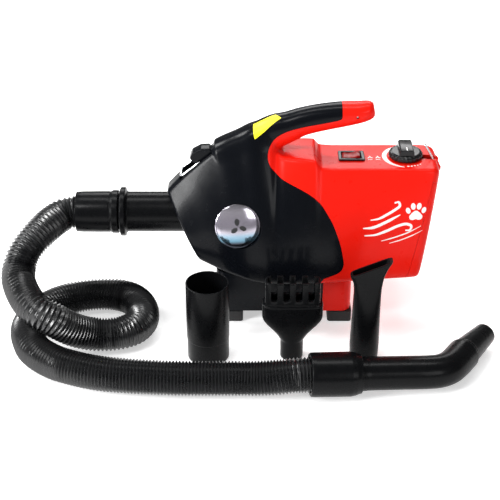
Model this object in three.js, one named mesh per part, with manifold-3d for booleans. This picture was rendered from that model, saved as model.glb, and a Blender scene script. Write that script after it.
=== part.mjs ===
// Portable pet dryer (blower) with stretch hose, bent wand and three loose nozzles.
// Millimetres, +Z up, nose and air outlet towards -X, feet on Z = 0.
import * as THREE from 'three';
import { mergeVertices } from 'three/addons/utils/BufferGeometryUtils.js';
import Module from 'manifold-3d';

const wasm = await Module();
wasm.setup();

// ---------------------------------------------------------------- driving dimensions
const ORIGIN = [47.78, 37.8, 0];      // shift that puts the origin at the bottom centre of the dryer and its nozzles
const GAP = 0.3;                     // clearance between touching pieces
const WALL = 3;                      // casing wall
const AXIS_Z = 128;                  // height of the motor and outlet axis
const TUBE_R = 25.3;                 // outlet tube, 50.6 mm outside
const HOSE_R = 21.5;                 // stretch hose, 43 mm outside
const FOOT_H = 15.4;
const DOOR_X = 144;                  // door seam at Z = 130
const DOOR_K = 0.21;                 // lean of the door seam
const HINGE = [163.5, 196];          // door hinge axis (X, Z)
const KNOB_X = 126, SWITCH_X = 59.7, PANEL_Z = 205;

// casing stations: X at Z = 130, lean, top Z, top half-width, top corner radius, widest half-width, lip Z, underside Z
const STATIONS = [
  [-149.5, -.52, 163, 17, 9, 50, 95, 84],
  [-128.4, -.42, 181.5, 17.5, 10, 57, 86, 78],
  [-108.6, -.32, 200, 18, 11, 63, 80.5, 73],
  [-91, -.24, 217, 18, 12, 67, 77, 69.5],
  [-79.4, -.18, 228, 18, 12, 69.5, 75, 67.5],
  [-66.3, -.12, 236, 18, 12, 71.5, 73.5, 66],
  [-53, -.06, 245, 18, 12, 73, 72.5, 65],
  [-40, 0, 237, 19, 12, 74, 72, 64.5],
  [-31, 0, 221, 23, 10, 74.3, 72, 64.3],
  [-22, 0, 216, 29, 8, 74.5, 72, 64],
  [0, 0, 216, 34, 7, 74, 72, 64],
  [14, 0, 215, 35, 6, 73, 72, 64],
  [22, 0, 206.5, 36, 5, 72.5, 72, 64],
  [40, 0, 205, 36, 5, 70.5, 72.5, 64],
  [70, 0, 205, 36, 5, 66.5, 73, 64],
  [110, .03, 205, 36, 5, 61.5, 73.5, 63.5],
  [138, .08, 205, 36, 4.5, 58, 73, 63],
  [148, .10, 204.6, 35.5, 5, 56, 73, 62.8],
  [153.5, .12, 203, 33.5, 6.5, 53, 74, 63.4],
  [156.2, .135, 199, 28.5, 9, 47.5, 77, 65.6],
];
// handle: X, Z, vertical and lateral half-axes, from the free tip to the crest
const HANDLE = [
  [85, 268.5, 8, 8], [79, 267.5, 11, 12.5], [67.6, 265, 12.5, 15], [44, 261.8, 15, 16], [18.8, 257.4, 16.2, 16],
  [-1.5, 252.3, 16.8, 16.3], [-17.4, 245.6, 18.6, 16.8], [-33, 239.8, 21, 17], [-60, 224.4, 22, 17], [-79, 213.4, 23, 17], [-97, 204, 24, 17],
];
// boundary between the black front casing and the red rear casing, seen from the side (X, Z)
const SEAM = [
  [45.8, 290], [45.6, 263], [39.3, 260.5], [21.7, 256.6], [3.3, 253.1], [-15.1, 248.3], [-26, 243.6], [-33.5, 238], [-38.8, 231.5],
  [-42, 224.5], [-43, 217.4], [-41.5, 210.5], [-37, 203.3], [-27.3, 194.2], [-16, 189.2], [-5.2, 184.6], [5.5, 179.3], [14.9, 172.8],
  [23.5, 163.5], [30.1, 153.2], [36.3, 142.2], [41.4, 129.7], [45.8, 116.5], [48.8, 103], [50.3, 91], [47.9, 83.5], [42.8, 79.4], [34.5, 76.2], [26.5, 73.4], [22, 66], [22, 40],
];
// hose centreline, from the machine cuff to the wand cuff
const HOSE = [
  [-281.8,0,127.5],[-296.7,-3.0,125.7],[-308.1,-13.2,122.9],[-317.6,-25.2,119.5],[-327.2,-36.2,113.7],[-336.4,-45.9,105.7],[-343.7,-55.6,95.8],[-347.5,-66.8,85.6],[-346.8,-80.6,78.5],[-341.7,-94.8,74.3],[-334.7,-108.2,70.4],[-326.0,-120.9,67.4],[-314.4,-130.4,63.4],[-301.0,-132.6,56.0],[-289.4,-130.3,45.7],[-277.4,-127.0,36.3],[-264.2,-123.1,28.8],[-249.8,-119.5,23.7],[-234.5,-116.9,21.9],[-219.4,-112.8,21.8],[-206.3,-104.5,22.4],[-199.0,-90.9,22.5],[-197.7,-75.4,21.8],[-200.8,-60.1,21.8],[-207.8,-46.1,21.8],[-219.0,-35.3,21.8],[-233.5,-29.6,21.8],[-249.0,-27.9,21.8],[-264.7,-28.9,21.8],[-279.9,-32.5,21.8],[-294.4,-38.4,21.8],[-307.2,-47.3,21.8],[-318.2,-58.5,21.8],[-327.3,-71.2,21.8],[-333.9,-85.4,21.8],[-336.9,-100.7,21.8],[-335.3,-116.3,21.8],[-330.5,-131.2,21.8],[-324.2,-145.5,21.8],[-314.2,-157.5,21.8],[-302.3,-167.7,21.8],[-289.3,-176.4,21.8],[-275.0,-182.8,21.8],[-260.4,-188.4,21.8],[-245.4,-193.1,21.8],[-230.1,-196.5,21.8],[-214.6,-198.7,21.8],[-199.0,-200.3,21.8],[-183.4,-201.6,21.8],[-167.8,-202.9,21.8],[-152.1,-203.7,21.8],[-136.5,-204.1,21.8],[-120.8,-204.3,21.8],[-105.1,-204.3,21.8],[-89.5,-204.2,21.8],[-73.8,-204.1,21.8],[-58.1,-204.9,22.4],[-42.5,-206.2,24.0],[-26.8,-207.4,26.3],[-11.0,-207.2,28.4],[-3.1,-206.5,28.4],[4.4,-205.84,28.03],
];
// wand: axis start at the cuff, unit direction in the straight stretch
const WAND_O = [4.9, -205.8, 28.0];
const WAND_D = new THREE.Vector3(.9955, .0870, -.0370).normalize();
const NOZZLE_Y = -128.4;

// ---------------------------------------------------------------- materials
const mat = (color, roughness, metalness = 0) => new THREE.MeshStandardMaterial({ color, roughness, metalness });
const M = {
  black: mat(0x101214, .28), red: mat(0xe01008, .3), blackSatin: mat(0x17181a, .45), hose: mat(0x0d0e0f, .5), rubber: mat(0x141414, .85),
  chrome: mat(0xd8dbe0, .12, 1), steel: mat(0x9a9da1, .35, 1), foam: mat(0x2b2c2e, .95), board: mat(0x1f5a34, .6), aluminium: mat(0xb7babd, .4, 1), copper: mat(0xb5542a, .4, 1), duct: mat(0x3a3c40, .5), redRocker: mat(0xa11212, .2),
};

// ---------------------------------------------------------------- solid helpers
const clean = (g) => {
  g.deleteAttribute('normal'); g.deleteAttribute('uv'); g.clearGroups();
  return mergeVertices(g, 1e-3);
};
const solid = (g) => {
  const c = clean(g.index ? g : g);
  return new wasm.Manifold(new wasm.Mesh({ numProp: 3, vertProperties: new Float32Array(c.attributes.position.array), triVerts: new Uint32Array(c.index.array) }));
};
const geometry = (s) => {
  const m = s.getMesh();
  const g = new THREE.BufferGeometry();
  const n = m.numProp, v = m.vertProperties, p = new Float32Array((v.length / n) * 3);
  for (let i = 0; i < v.length / n; i++) for (let k = 0; k < 3; k++) p[3 * i + k] = v[n * i + k];
  g.setAttribute('position', new THREE.BufferAttribute(p, 3));
  g.setIndex(new THREE.BufferAttribute(new Uint32Array(m.triVerts), 1));
  g.computeVertexNormals();
  return g;
};
// closed skin over rings of equal length, capped at both ends
const skin = (rings) => {
  const n = rings[0].length, p = [], f = [];
  for (const r of rings) for (const q of r) p.push(...q);
  for (let i = 0; i < rings.length - 1; i++) for (let j = 0; j < n; j++) {
    const a = i * n + j, b = i * n + (j + 1) % n, c = a + n, d = b + n;
    f.push(a, b, c, b, d, c);
  }
  for (const [i, flip] of [[0, true], [rings.length - 1, false]]) {
    const c = [0, 0, 0];
    for (const q of rings[i]) for (let k = 0; k < 3; k++) c[k] += q[k] / n;
    const ci = p.length / 3; p.push(...c);
    for (let j = 0; j < n; j++) { const a = i * n + j, b = i * n + (j + 1) % n; flip ? f.push(ci, b, a) : f.push(ci, a, b); }
  }
  const g = new THREE.BufferGeometry();
  g.setAttribute('position', new THREE.BufferAttribute(new Float32Array(p), 3));
  g.setIndex(f);
  const s = solid(g);
  if (s.volume() > 0) return s;
  for (let i = 0; i < f.length; i += 3) [f[i + 1], f[i + 2]] = [f[i + 2], f[i + 1]];
  const h = new THREE.BufferGeometry();
  h.setAttribute('position', new THREE.BufferAttribute(new Float32Array(p), 3));
  h.setIndex(f);
  return solid(h);
};
const box = (x0, x1, y0, y1, z0, z1) => { const g = new THREE.BoxGeometry(x1 - x0, y1 - y0, z1 - z0); g.translate((x0 + x1) / 2, (y0 + y1) / 2, (z0 + z1) / 2); return solid(g); };
// lathe: pairs (radius, height) turned about +Z, then pointed along axis and moved to pos
const turn = (pairs, segments = 32, axis = [0, 0, 1], pos = [0, 0, 0]) => {
  const closed = pairs[0][0] > 0 ? [...pairs, pairs[0]] : pairs;
  const g = new THREE.LatheGeometry(closed.map(([r, h]) => new THREE.Vector2(Math.max(r, 0), h)), segments);
  g.rotateX(Math.PI / 2);
  const q = new THREE.Quaternion().setFromUnitVectors(new THREE.Vector3(0, 0, 1), new THREE.Vector3(...axis).normalize());
  g.applyQuaternion(q); g.translate(...pos);
  const c = clean(g);
  // turned profiles run either way round: keep the one with its faces out
  const s = new wasm.Manifold(new wasm.Mesh({ numProp: 3, vertProperties: new Float32Array(c.attributes.position.array), triVerts: new Uint32Array(c.index.array) }));
  if (s.volume() > 0) return s;
  const t = new Uint32Array(c.index.array);
  for (let i = 0; i < t.length; i += 3) { const w = t[i + 1]; t[i + 1] = t[i + 2]; t[i + 2] = w; }
  return new wasm.Manifold(new wasm.Mesh({ numProp: 3, vertProperties: new Float32Array(c.attributes.position.array), triVerts: t }));
};
const rod = (r, h0, h1, segments, axis, pos) => turn([[0, h0], [r, h0], [r, h1], [0, h1]], segments, axis, pos);
const X = [1, 0, 0], Y = [0, 1, 0], Z = [0, 0, 1];
// prism over a side outline (X, Z), from y0 to y1
const prism = (outline, y0, y1) => {
  const g = new THREE.ExtrudeGeometry(new THREE.Shape(outline.map(([x, z]) => new THREE.Vector2(x, z))), { depth: y1 - y0, bevelEnabled: false });
  g.rotateX(Math.PI / 2); g.translate(0, y1, 0);
  return solid(g);
};
// plate over a plan outline (X, Y), from z0 to z1
const plate = (shape, z0, z1, curveSegments = 6) => { const g = new THREE.ExtrudeGeometry(shape, { depth: z1 - z0, bevelEnabled: false, curveSegments }); g.translate(0, 0, z0); return solid(g); };
const roundRect = (x0, x1, y0, y1, r) => {
  const s = new THREE.Shape();
  s.moveTo(x0 + r, y0); s.lineTo(x1 - r, y0); s.absarc(x1 - r, y0 + r, r, -Math.PI / 2, 0); s.lineTo(x1, y1 - r); s.absarc(x1 - r, y1 - r, r, 0, Math.PI / 2);
  s.lineTo(x0 + r, y1); s.absarc(x0 + r, y1 - r, r, Math.PI / 2, Math.PI); s.lineTo(x0, y0 + r); s.absarc(x0 + r, y0 + r, r, Math.PI, 1.5 * Math.PI);
  return s;
};
const sweep = (points, r, steps, sides) => {
  const path = new THREE.CatmullRomCurve3(points.map((p) => new THREE.Vector3(...p)), false, 'centripetal');
  const shape = new THREE.Shape();
  for (let i = 0; i < sides; i++) { const a = i / sides * 2 * Math.PI; i ? shape.lineTo(r * Math.cos(a), r * Math.sin(a)) : shape.moveTo(r * Math.cos(a), r * Math.sin(a)); }
  shape.closePath();
  return solid(new THREE.ExtrudeGeometry(shape, { steps, extrudePath: path, bevelEnabled: false }));
};
const cutAll = (s, ...cutters) => cutters.reduce((a, b) => a.subtract(b), s);
const joinAll = (s, ...more) => more.reduce((a, b) => a.add(b), s);

const group = new THREE.Group();
group.name = 'pet_dryer';
const model = new THREE.Group();
model.position.set(...ORIGIN);
group.add(model);
const put = (name, s, material) => {
  const parts = s.decompose ? s.decompose() : [s];
  parts.sort((a, b) => b.volume() - a.volume());   // boolean slivers are dropped, the piece itself is kept
  const mesh = new THREE.Mesh(geometry(parts[0].simplify(.08)), material);
  mesh.name = name;
  model.add(mesh);
  return mesh;
};

// ---------------------------------------------------------------- casing skin
const POWER = 1.75;
const halfSection = (st, off, fine = true) => {
  let [x, k, zt, wt, rt, wm, zl, zb] = st;
  zt -= off; wt -= off; wm -= off; zb += off; zl += off * .3; rt = Math.max(rt - off, 1.5);
  let a = .4;
  for (let i = 0; i < 12; i++) a = Math.atan(POWER * (wm - (wt - rt + rt * Math.cos(a))) / (zt - rt + rt * Math.sin(a) - zl));
  const ye = wt - rt + rt * Math.cos(a), ze = zt - rt + rt * Math.sin(a), out = [], wb = wm - 7;
  for (let i = 0; i < (fine ? 3 : 2); i++) { const b = i / (fine ? 2 : 1) * Math.PI / 2; out.push([wb + (wm - wb) * Math.sin(b), zl - (zl - zb) * Math.cos(b)]); }
  const side = fine ? 4 : 3, cap = fine ? 2 : 1;
  for (let i = 1; i <= side; i++) { const t = i / side; out.push([ye + (wm - ye) * (1 - t ** POWER), zl + t * (ze - zl)]); }
  for (let i = 1; i <= cap; i++) { const b = a + (Math.PI / 2 - a) * i / cap; out.push([wt - rt + rt * Math.cos(b), zt - rt + rt * Math.sin(b)]); }
  return out.map(([y, z]) => [x + k * (z - 130), y, z]);
};
const casing = (off, end = off) => {
  const fine = off <= 0;
  const stations = STATIONS.filter((s, i) => fine || ![1, 3, 5, 10, 14].includes(i)).map((s) => [...s]);
  stations[0][0] += end; stations[stations.length - 1][0] -= end;
  return skin(stations.map((st) => { const h = halfSection(st, off, fine); return [...h, ...h.map(([x, y, z]) => [x, -y, z]).reverse()]; }));
};
const grip = (off) => skin(HANDLE.map(([x, z, r, w], i) => {
  const ring = [];
  const a = HANDLE[Math.max(i - 1, 0)], b = HANDLE[Math.min(i + 1, HANDLE.length - 1)];
  const d = Math.hypot(b[0] - a[0], b[1] - a[1]), nx = -(b[1] - a[1]) / d * -1, nz = -(b[0] - a[0]) / d;
  const dx = off && i === 0 ? -off : 0;
  for (let j = 0; j < 12; j++) { const t = j / 12 * 2 * Math.PI; ring.push([x + dx + nx * (r - off) * Math.sin(t), (w - off) * Math.cos(t), z + nz * (r - off) * Math.sin(t)]); }
  return ring;
}));
const outer = casing(0).add(grip(0));
const inner = casing(WALL).add(grip(WALL));
const grown = casing(-GAP);
const leftSide = box(-400, 400, -400, -GAP / 2, -10, 400), rightSide = box(-400, 400, GAP / 2, 400, -10, 400);
const frontRegion = prism([[-300, 40], [-300, 290], ...SEAM], -200, 200);
const shifted = SEAM.map((p, i) => {
  const a = SEAM[Math.max(i - 1, 0)], b = SEAM[Math.min(i + 1, SEAM.length - 1)];
  const d = Math.hypot(b[0] - a[0], b[1] - a[1]);
  return [p[0] - (b[1] - a[1]) / d * .4, p[1] + (b[0] - a[0]) / d * .4];
});
const notFront = prism([[-300, 30], [-300, 300], [shifted[0][0], 300], ...shifted, [shifted.at(-1)[0], 30]], -200, 200);
const leanX = (x, z) => x + DOOR_K * (z - 130);
const beforeDoor = prism([[-300, 30], [-300, 300], [leanX(DOOR_X - .2, 300) + 0, 300], [leanX(DOOR_X - .2, 30), 30]], -200, 200);
const afterDoor = prism([[leanX(DOOR_X + .2, 30), 30], [leanX(DOOR_X + .2, 300), 300], [300, 300], [300, 30]], -200, 200);

// ribs that cradle the motor and the turbine housing
const rib = (x0, x1, r) => box(x0, x1, -100, 100, 60, 181).intersect(casing(1.2)).subtract(rod(r, -200, 200, 24, X, [0, 0, AXIS_Z]));
const ribs = joinAll(rib(2, 6, 50.9), rib(66, 70, 50.9), rib(-15, -11, 45.9));

// screw stations: X, Z, half-width of the casing there
const SCREWS = [[-112, 86, 53], [-97, 200, 25], [-66, 226, 24], [15, 192, 43], [112, 92, 56], [64, 264, 14.6]];
const bosses = (side) => SCREWS.map(([x, z, w]) => {
  const r = z > 255 ? 4 : 5;
  return rod(r, 0, w + 12, 8, [0, side, 0], [x, side * .15, z]).intersect(outer);
});

// badge seat on the left flank
const BADGE_N = new THREE.Vector3(.10, -.955, .28).normalize();
const BADGE_P = new THREE.Vector3(-78.5, -57.6, 139).addScaledVector(BADGE_N, -2.2);
const badgeAxis = BADGE_N.toArray();
const badgeSeat = rod(31, -4.6, 1, 20, badgeAxis, BADGE_P.toArray()).intersect(outer);
const badgePocket = rod(28.4, -1.9, 20, 24, badgeAxis, BADGE_P.toArray());

// strap recess in the crest, in a frame that follows the slope
const slope = new THREE.Vector2(-130 + 150, 200 - 181.5).normalize();
const along = (s, d) => [-150 + slope.x * s - slope.y * d, 181.5 + slope.y * s + slope.x * d];  // s up the crest, d out of it
const recess = prism([along(-1, -6), along(-1, 14), along(53, 14), along(53, -10), along(24, -12)], -13, 13);
const recessLining = prism([along(-4.5, -9), along(-4.5, 8), along(56.5, 8), along(56.5, -13), along(24, -15)], -16, 16).intersect(outer);
const RING_HINGE = along(31.5, -1.2);

const knobHole = rod(4.4, 190, 220, 10, Z, [KNOB_X, 0, 0]);
const switchHole = box(SWITCH_X - 14.2, SWITCH_X + 14.2, -11.1, 11.1, 195, 215);
const noseBore = rod(TUBE_R + .5, -220, -100, 24, X, [0, 0, AXIS_Z]);
const glandHole = rod(7.5, 40, 90, 12, Y, [122, 0, 118]);
const lugs = (side) => joinAll(
  turn([[0, -5.2], [2.6, -4.5], [4.5, -2.6], [5.2, 0], [4.5, 2.6], [2.6, 4.5], [0, 5.2]], 10, Y, [HINGE[0], side * 11, HINGE[1]]),
  prism([[150, 196], [151, 203.5], [160, 201.5], [165, 198.5], [162, 193], [156.5, 193]], side > 0 ? 8 : -14, side > 0 ? 14 : -8),
);
// curved hinge edge: the housing ends in a rounded nose about the hinge axis, and the door in a hollow that turns round it
const NOSE_R = 8.6, DOOR_HOLLOW_R = 9;
const hingeRod = (r, y) => rod(r, -y, y, 28, Y, [HINGE[0], 0, HINGE[1]]);
const pinBore = rod(1.8, -15.4, 15.4, 8, Y, [HINGE[0], 0, HINGE[1]]);
const reach = (deg, r) => [HINGE[0] + r * Math.cos(deg * Math.PI / 180), HINGE[1] + r * Math.sin(deg * Math.PI / 180)];
// room between the lugs for the knuckle of the door and for the strap ring as it swings
const lugSlot = box(100, 200, -5.8, 5.8, 180, 210).intersect(afterDoor).add(prism([reach(60, 3), reach(60, 20), reach(138, 20), reach(150, 5)], -5.8, 5.8));

const shellBody = outer.subtract(inner).add(ribs.intersect(outer));
const nose = outer.subtract(casing(WALL, WALL)).intersect(hingeRod(NOSE_R, 60)).subtract(lugSlot);
for (const [side, region, tag] of [[-1, leftSide, 'left'], [1, rightSide, 'right']]) {
  const screwsHere = SCREWS.map(([x, z, w]) => rod(1.8, -16, w, 8, Y, [x, 0, z]).add(rod(3.8, w - 6.3, 120, 10, Y, [x, 0, z])));
  let half = joinAll(shellBody, ...bosses(side)).intersect(region);
  if (side < 0) half = half.add(badgeSeat);
  half = cutAll(half, noseBore, knobHole, switchHole, ...screwsHere);
  if (side < 0) half = half.subtract(badgePocket); else half = half.subtract(glandHole);
  put(`front_shell_${tag}`, half.add(recessLining.intersect(region)).subtract(recess).subtract(noseBore).intersect(frontRegion), M.black);
  put(`rear_housing_${tag}`, half.subtract(notFront).intersect(beforeDoor).subtract(lugSlot).add(nose.intersect(region)).add(lugs(side).intersect(region).subtract(casing(WALL + .5).intersect(afterDoor).subtract(hingeRod(NOSE_R, 60)))).subtract(pinBore), M.red);
}

// ---------------------------------------------------------------- rear filter door
const doorShell = outer.subtract(casing(WALL, WALL)).intersect(afterDoor);
const knuckle = rod(4.4, -3.4, 3.4, 12, Y, [HINGE[0], 0, HINGE[1]]).add(prism([reach(-160, 3.6), reach(-106, 14), reach(-70, 14), reach(-20, 3.6)], -3.4, 3.4).intersect(outer));
const slots = [104, 116, 128, 140, 152, 164].map((z, i) => box(140, 180, -22 + Math.abs(i - 2.5), 22 - Math.abs(i - 2.5), z - 2, z + 2));
put('filter_door', cutAll(doorShell.subtract(hingeRod(DOOR_HOLLOW_R, 60)).add(knuckle), pinBore, ...slots), M.red);
put('door_hinge_pin', rod(1.4, -15, 15, 8, Y, [HINGE[0], 0, HINGE[1]]), M.steel);
put('intake_filter', casing(8).intersect(prism([[leanX(DOOR_X - 10, 84), 84], [leanX(DOOR_X - 10, 184), 184], [leanX(DOOR_X - 1.5, 184), 184], [leanX(DOOR_X - 1.5, 84), 84]], -60, 60)), M.foam);

// ---------------------------------------------------------------- plinth and feet
const PLINTH_Y = 58;
const plinthSolid = plate(roundRect(-106, 63, -PLINTH_Y, PLINTH_Y, 12), 15.7, 96, 3).subtract(plate(roundRect(-103, 60, -PLINTH_Y + 3, PLINTH_Y - 3, 9), 18.7, 100, 2)).subtract(grown);
const underBody = prism([[-140, 10], [-140, 78], [-100, 74.4], [-60, 66.4], [-30, 64.4], [80, 64.4], [80, 10]], -100, 100);
const FEET = [[-88, -46], [-88, 46], [49, -46], [49, 46]];
const footHoles = FEET.map(([x, y]) => rod(2.5, 10, 30, 8, Z, [x, y, 0]));
const plinth = cutAll(plinthSolid.intersect(underBody), ...footHoles);
put('plinth_front', plinth.intersect(box(-200, 26.8, -100, 100, 0, 200)), M.black);
put('plinth_rear', plinth.intersect(box(27.2, 200, -100, 100, 0, 200)), M.red);
FEET.forEach(([x, y], i) => {
  const tag = ['front_left', 'front_right', 'rear_left', 'rear_right'][i];
  const pad = plate(roundRect(x - 15.2, x + 15.2, y - 12, y + 12, 3), 0, FOOT_H, 1);
  put(`foot_${tag}`, pad.subtract(rod(4.7, -1, 8.3, 8, Z, [x, y, 0])).subtract(rod(2.5, 0, 30, 8, Z, [x, y, 0])), M.rubber);
  put(`foot_screw_${tag}`, turn([[0, 5.2], [4.2, 5.2], [4.2, 8], [2, 8], [2, 25], [0, 25]], 8, Z, [x, y, 0]), M.steel);
});

// ---------------------------------------------------------------- casing screws, driven from the right side
SCREWS.forEach(([x, z, w], i) => put(`casing_screw_${i + 1}`, turn([[0, -13], [1.4, -13], [1.4, w - 6], [3.2, w - 6], [3.2, w - 3.2], [0, w - 3.2]], 8, Y, [x, 0, z]), M.steel));

// ---------------------------------------------------------------- air path
const A = [0, 0, AXIS_Z];
put('outlet_tube', turn([[TUBE_R + 5, -119], [TUBE_R + 5, -122], [TUBE_R, -122], [TUBE_R, -217.5], [30.9, -219], [30.9, -226], [22.2, -227.6], [22.2, -264], [20.2, -264], [20.2, -119]], 24, X, A), M.black);
put('outlet_duct', turn([[42.8, -42.4], [45, -42.4], [45, -46], [30.3, -118.6], [22.4, -118.6], [22.4, -116.4], [28.4, -116.4]], 20, X, A), M.duct);
put('turbine_housing', turn([[45, -42], [45, -9], [18, -9], [18, -11], [42.8, -11], [42.8, -42]], 20, X, A), M.aluminium);
const blades = [];
for (let i = 0; i < 8; i++) {
  const g = new THREE.BoxGeometry(14, 24, 1.6); g.translate(-8.5, 0, 0); g.rotateX(.5);
  const m = new THREE.Matrix4().makeRotationX(i / 8 * 2 * Math.PI);
  g.translate(0, 24, 0); g.applyMatrix4(m); g.translate(-19.5, 0, AXIS_Z);
  blades.push(solid(g));
}
put('impeller', joinAll(rod(38.5, -21, -19, 24, X, A), rod(9.5, -35, -19, 12, X, A), ...blades).subtract(rod(4.4, -60, 0, 12, X, A)), M.duct);
put('motor_shaft', rod(4, -38, 86, 12, X, A), M.steel);
put('motor', turn([[11.3, -6], [30, -6], [30, -2], [43.8, 0], [43.8, 74], [34, 78], [11.3, 78], [11.3, 70], [6, 70], [6, 2], [11.3, 2]], 20, X, A), M.steel);
put('bearing_front', turn([[4.4, -5], [10.9, -5], [10.9, 1.7], [4.4, 1.7]], 12, X, A), M.chrome);
put('bearing_rear', turn([[4.4, 70.3], [10.9, 70.3], [10.9, 77], [4.4, 77]], 12, X, A), M.chrome);
put('motor_mount_front', turn([[44.4, .5], [50.1, .5], [50.1, 9], [44.4, 9]], 20, X, A), M.rubber);
put('motor_mount_rear', turn([[44.4, 63], [50.1, 63], [50.1, 72], [44.4, 72]], 20, X, A), M.rubber);

// ---------------------------------------------------------------- controls
const sw = SWITCH_X;
put('switch_body', joinAll(plate(roundRect(sw - 16, sw + 16, -12.5, 12.5, 1.5), PANEL_Z + .3, PANEL_Z + 2.4, 2), box(sw - 13.9, sw + 13.9, -10.8, 10.8, 186, PANEL_Z + 1)).subtract(box(sw - 12.2, sw + 12.2, -7.8, 7.8, 197.5, 220)), M.blackSatin);
const ROCKER = [[-11.4, 3.4], [-8, 4.4], [-2, 2.9], [2, 2.9], [8, 4.4], [11.4, 3.4], [10.2, -.6], [3, -3.6], [-3, -3.6], [-10.2, -.6]];
const tilt = 9 * Math.PI / 180, ROCKER_Z = 204.2;
put('power_rocker', prism(ROCKER.map(([x, z]) => [sw + x * Math.cos(tilt) - z * Math.sin(tilt), ROCKER_Z + x * Math.sin(tilt) + z * Math.cos(tilt)]), -7.4, 7.4), M.redRocker);
const knobSkirt = turn([[0, 206], [19.8, 206], [21, 207.4], [20.5, 211.2], [17.5, 213.2], [0, 213.6]], 24, Z, [KNOB_X, 0, 0]);
const knobBar = prism([[KNOB_X - 9.6, 211], [KNOB_X - 8.5, 219.2], [KNOB_X - 7, 220.6], [KNOB_X + 7, 220.6], [KNOB_X + 8.5, 219.2], [KNOB_X + 9.6, 211]], -15.8, 15.8);
put('speed_knob', joinAll(knobSkirt, knobBar).subtract(rod(3.5, 200, 216, 10, Z, [KNOB_X, 0, 0])), M.black);
put('knob_shaft', rod(3, 189, 215.6, 10, Z, [KNOB_X, 0, 0]), M.steel);
put('speed_potentiometer', turn([[3.4, 190.2], [9, 190.2], [9, 198], [3.4, 198]], 12, Z, [KNOB_X, 0, 0]), M.steel);
put('control_board', joinAll(box(88, 142, -22, 22, 184, 185.6), box(92, 106, -18, 2, 185.5, 196), rod(5, 185.5, 198, 12, Z, [98, 12, 0]), box(114, 138, 12, 20, 185.5, 193)), M.board);
put('board_lead', sweep([[sw + 14.2, -4, 190], [sw + 19, -4, 191], [86, -6, 189.5], [91.7, -6, 190]], 1.5, 6, 6), M.redRocker);
put('motor_lead', sweep([[98, -8, 183.6], [98, -8, 178], [95, -14, 170], [91, -19, 158], [85, -20, 150.4], [79.2, -20, 150]], 1.5, 9, 6), M.copper);
put('cord_gland', turn([[3.4, -9], [7, -9], [7, 3.6], [9.6, 3.6], [9.6, 6.2], [5.8, 9], [4.6, 24], [3.4, 24]], 12, Y, [122, 54.6, 118]), M.rubber);

// ---------------------------------------------------------------- strap hook and ring at the crest
const [rx, rz] = RING_HINGE;
const hook = prism([along(52.6, -9.7), along(52.6, 3), along(45, 9.5), along(33, 12.5), along(26.5, 10.5), along(24.5, 5), along(27, -1.5), along(27.5, -5.5), along(34.5, -6.5), along(38, -10.5)], -8.5, 8.5);
put('strap_hook', hook.subtract(rod(2.3, -20, 20, 14, Y, [rx, 0, rz])), M.black);
{
  const e = 10.6, u = along(31.5, -1.2), v = along(2.2, .6);
  const pts = [[u[0], -e, u[1]], [u[0], 0, u[1]], [u[0], e, u[1]], [(u[0] + v[0]) / 2, e + .4, (u[1] + v[1]) / 2], [v[0], e, v[1]], [v[0], 0, v[1]], [v[0], -e, v[1]], [(u[0] + v[0]) / 2, -e - .4, (u[1] + v[1]) / 2]];
  const path = new THREE.CatmullRomCurve3(pts.map((p) => new THREE.Vector3(...p)), true, 'catmullrom', .12);
  put('strap_ring', solid(new THREE.TubeGeometry(path, 36, 1.5, 6, true)), M.chrome);
}
// wire ring between the rear lugs, its two eyes on the hinge pin
{
  const d = [Math.cos(120 * Math.PI / 180), 0, Math.sin(120 * Math.PI / 180)], at = (y) => [HINGE[0], y, HINGE[1]];
  const legs = [-4.6, 4.6].flatMap((y) => [rod(3.3, y - .9, y + .9, 12, Y, at(0)), rod(.95, 2.4, 31, 8, d, at(y))]);
  const bar = rod(.95, -5.5, 5.5, 8, Y, [HINGE[0] + d[0] * 31, 0, HINGE[1] + d[2] * 31]);
  put('rear_strap_ring', joinAll(bar, ...legs).subtract(rod(1.75, -20, 20, 8, Y, at(0))), M.chrome);
}
put('badge', turn([[0, -1.6], [27.4, -1.6], [27.8, -.2], [20, 1.9], [10, 3.1], [0, 3.4]], 24, badgeAxis, BADGE_P.toArray()), M.chrome);

// ---------------------------------------------------------------- hose and wand
put('hose', sweep(HOSE, HOSE_R, 60, 10), M.hose);
put('hose_cuff_machine', turn([[22.5, -228], [27.2, -228], [27.2, -236.5], [25.7, -237.5], [25.2, -281.4], [22.5, -281.4]], 24, X, [0, 0, AXIS_Z - .25]), M.black);
const D = WAND_D.toArray();
put('hose_cuff_wand', turn([[20.9, 0], [26, 0], [26.3, 49], [23.2, 60], [20.9, 60]], 24, D, WAND_O), M.black);
const wandAt = (s) => [WAND_O[0] + WAND_D.x * s, WAND_O[1] + WAND_D.y * s, WAND_O[2] + WAND_D.z * s];
const WAND_PATH = [wandAt(14), wandAt(40), wandAt(75), wandAt(110), wandAt(140), [157.5, -190.6, 22.1], [168.5, -184.5, 21.7], [178, -173.8, 21.3], [186.5, -161.6, 21.1], [191.5, -154.4, 21]];
const wand = sweep(WAND_PATH, 20.3, 18, 16);
const boreEnds = [wandAt(10), ...WAND_PATH.slice(1, -1), [193.2, -152, 20.95]];
put('wand', wand.subtract(sweep(boreEnds, 17.7, 18, 12)), M.black);
const TIP_D = new THREE.Vector3(.6, .797, -.03).normalize();
const TIP_O = [191.5 - TIP_D.x * 13, -154.4 - TIP_D.y * 13, 21 - TIP_D.z * 13];
put('wand_tip', turn([[13, 5], [15.4, 5], [15.4, 13.4], [18, 14], [18, 17], [13.6, 66], [11.4, 66]], 20, TIP_D.toArray(), TIP_O), M.black);

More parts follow.
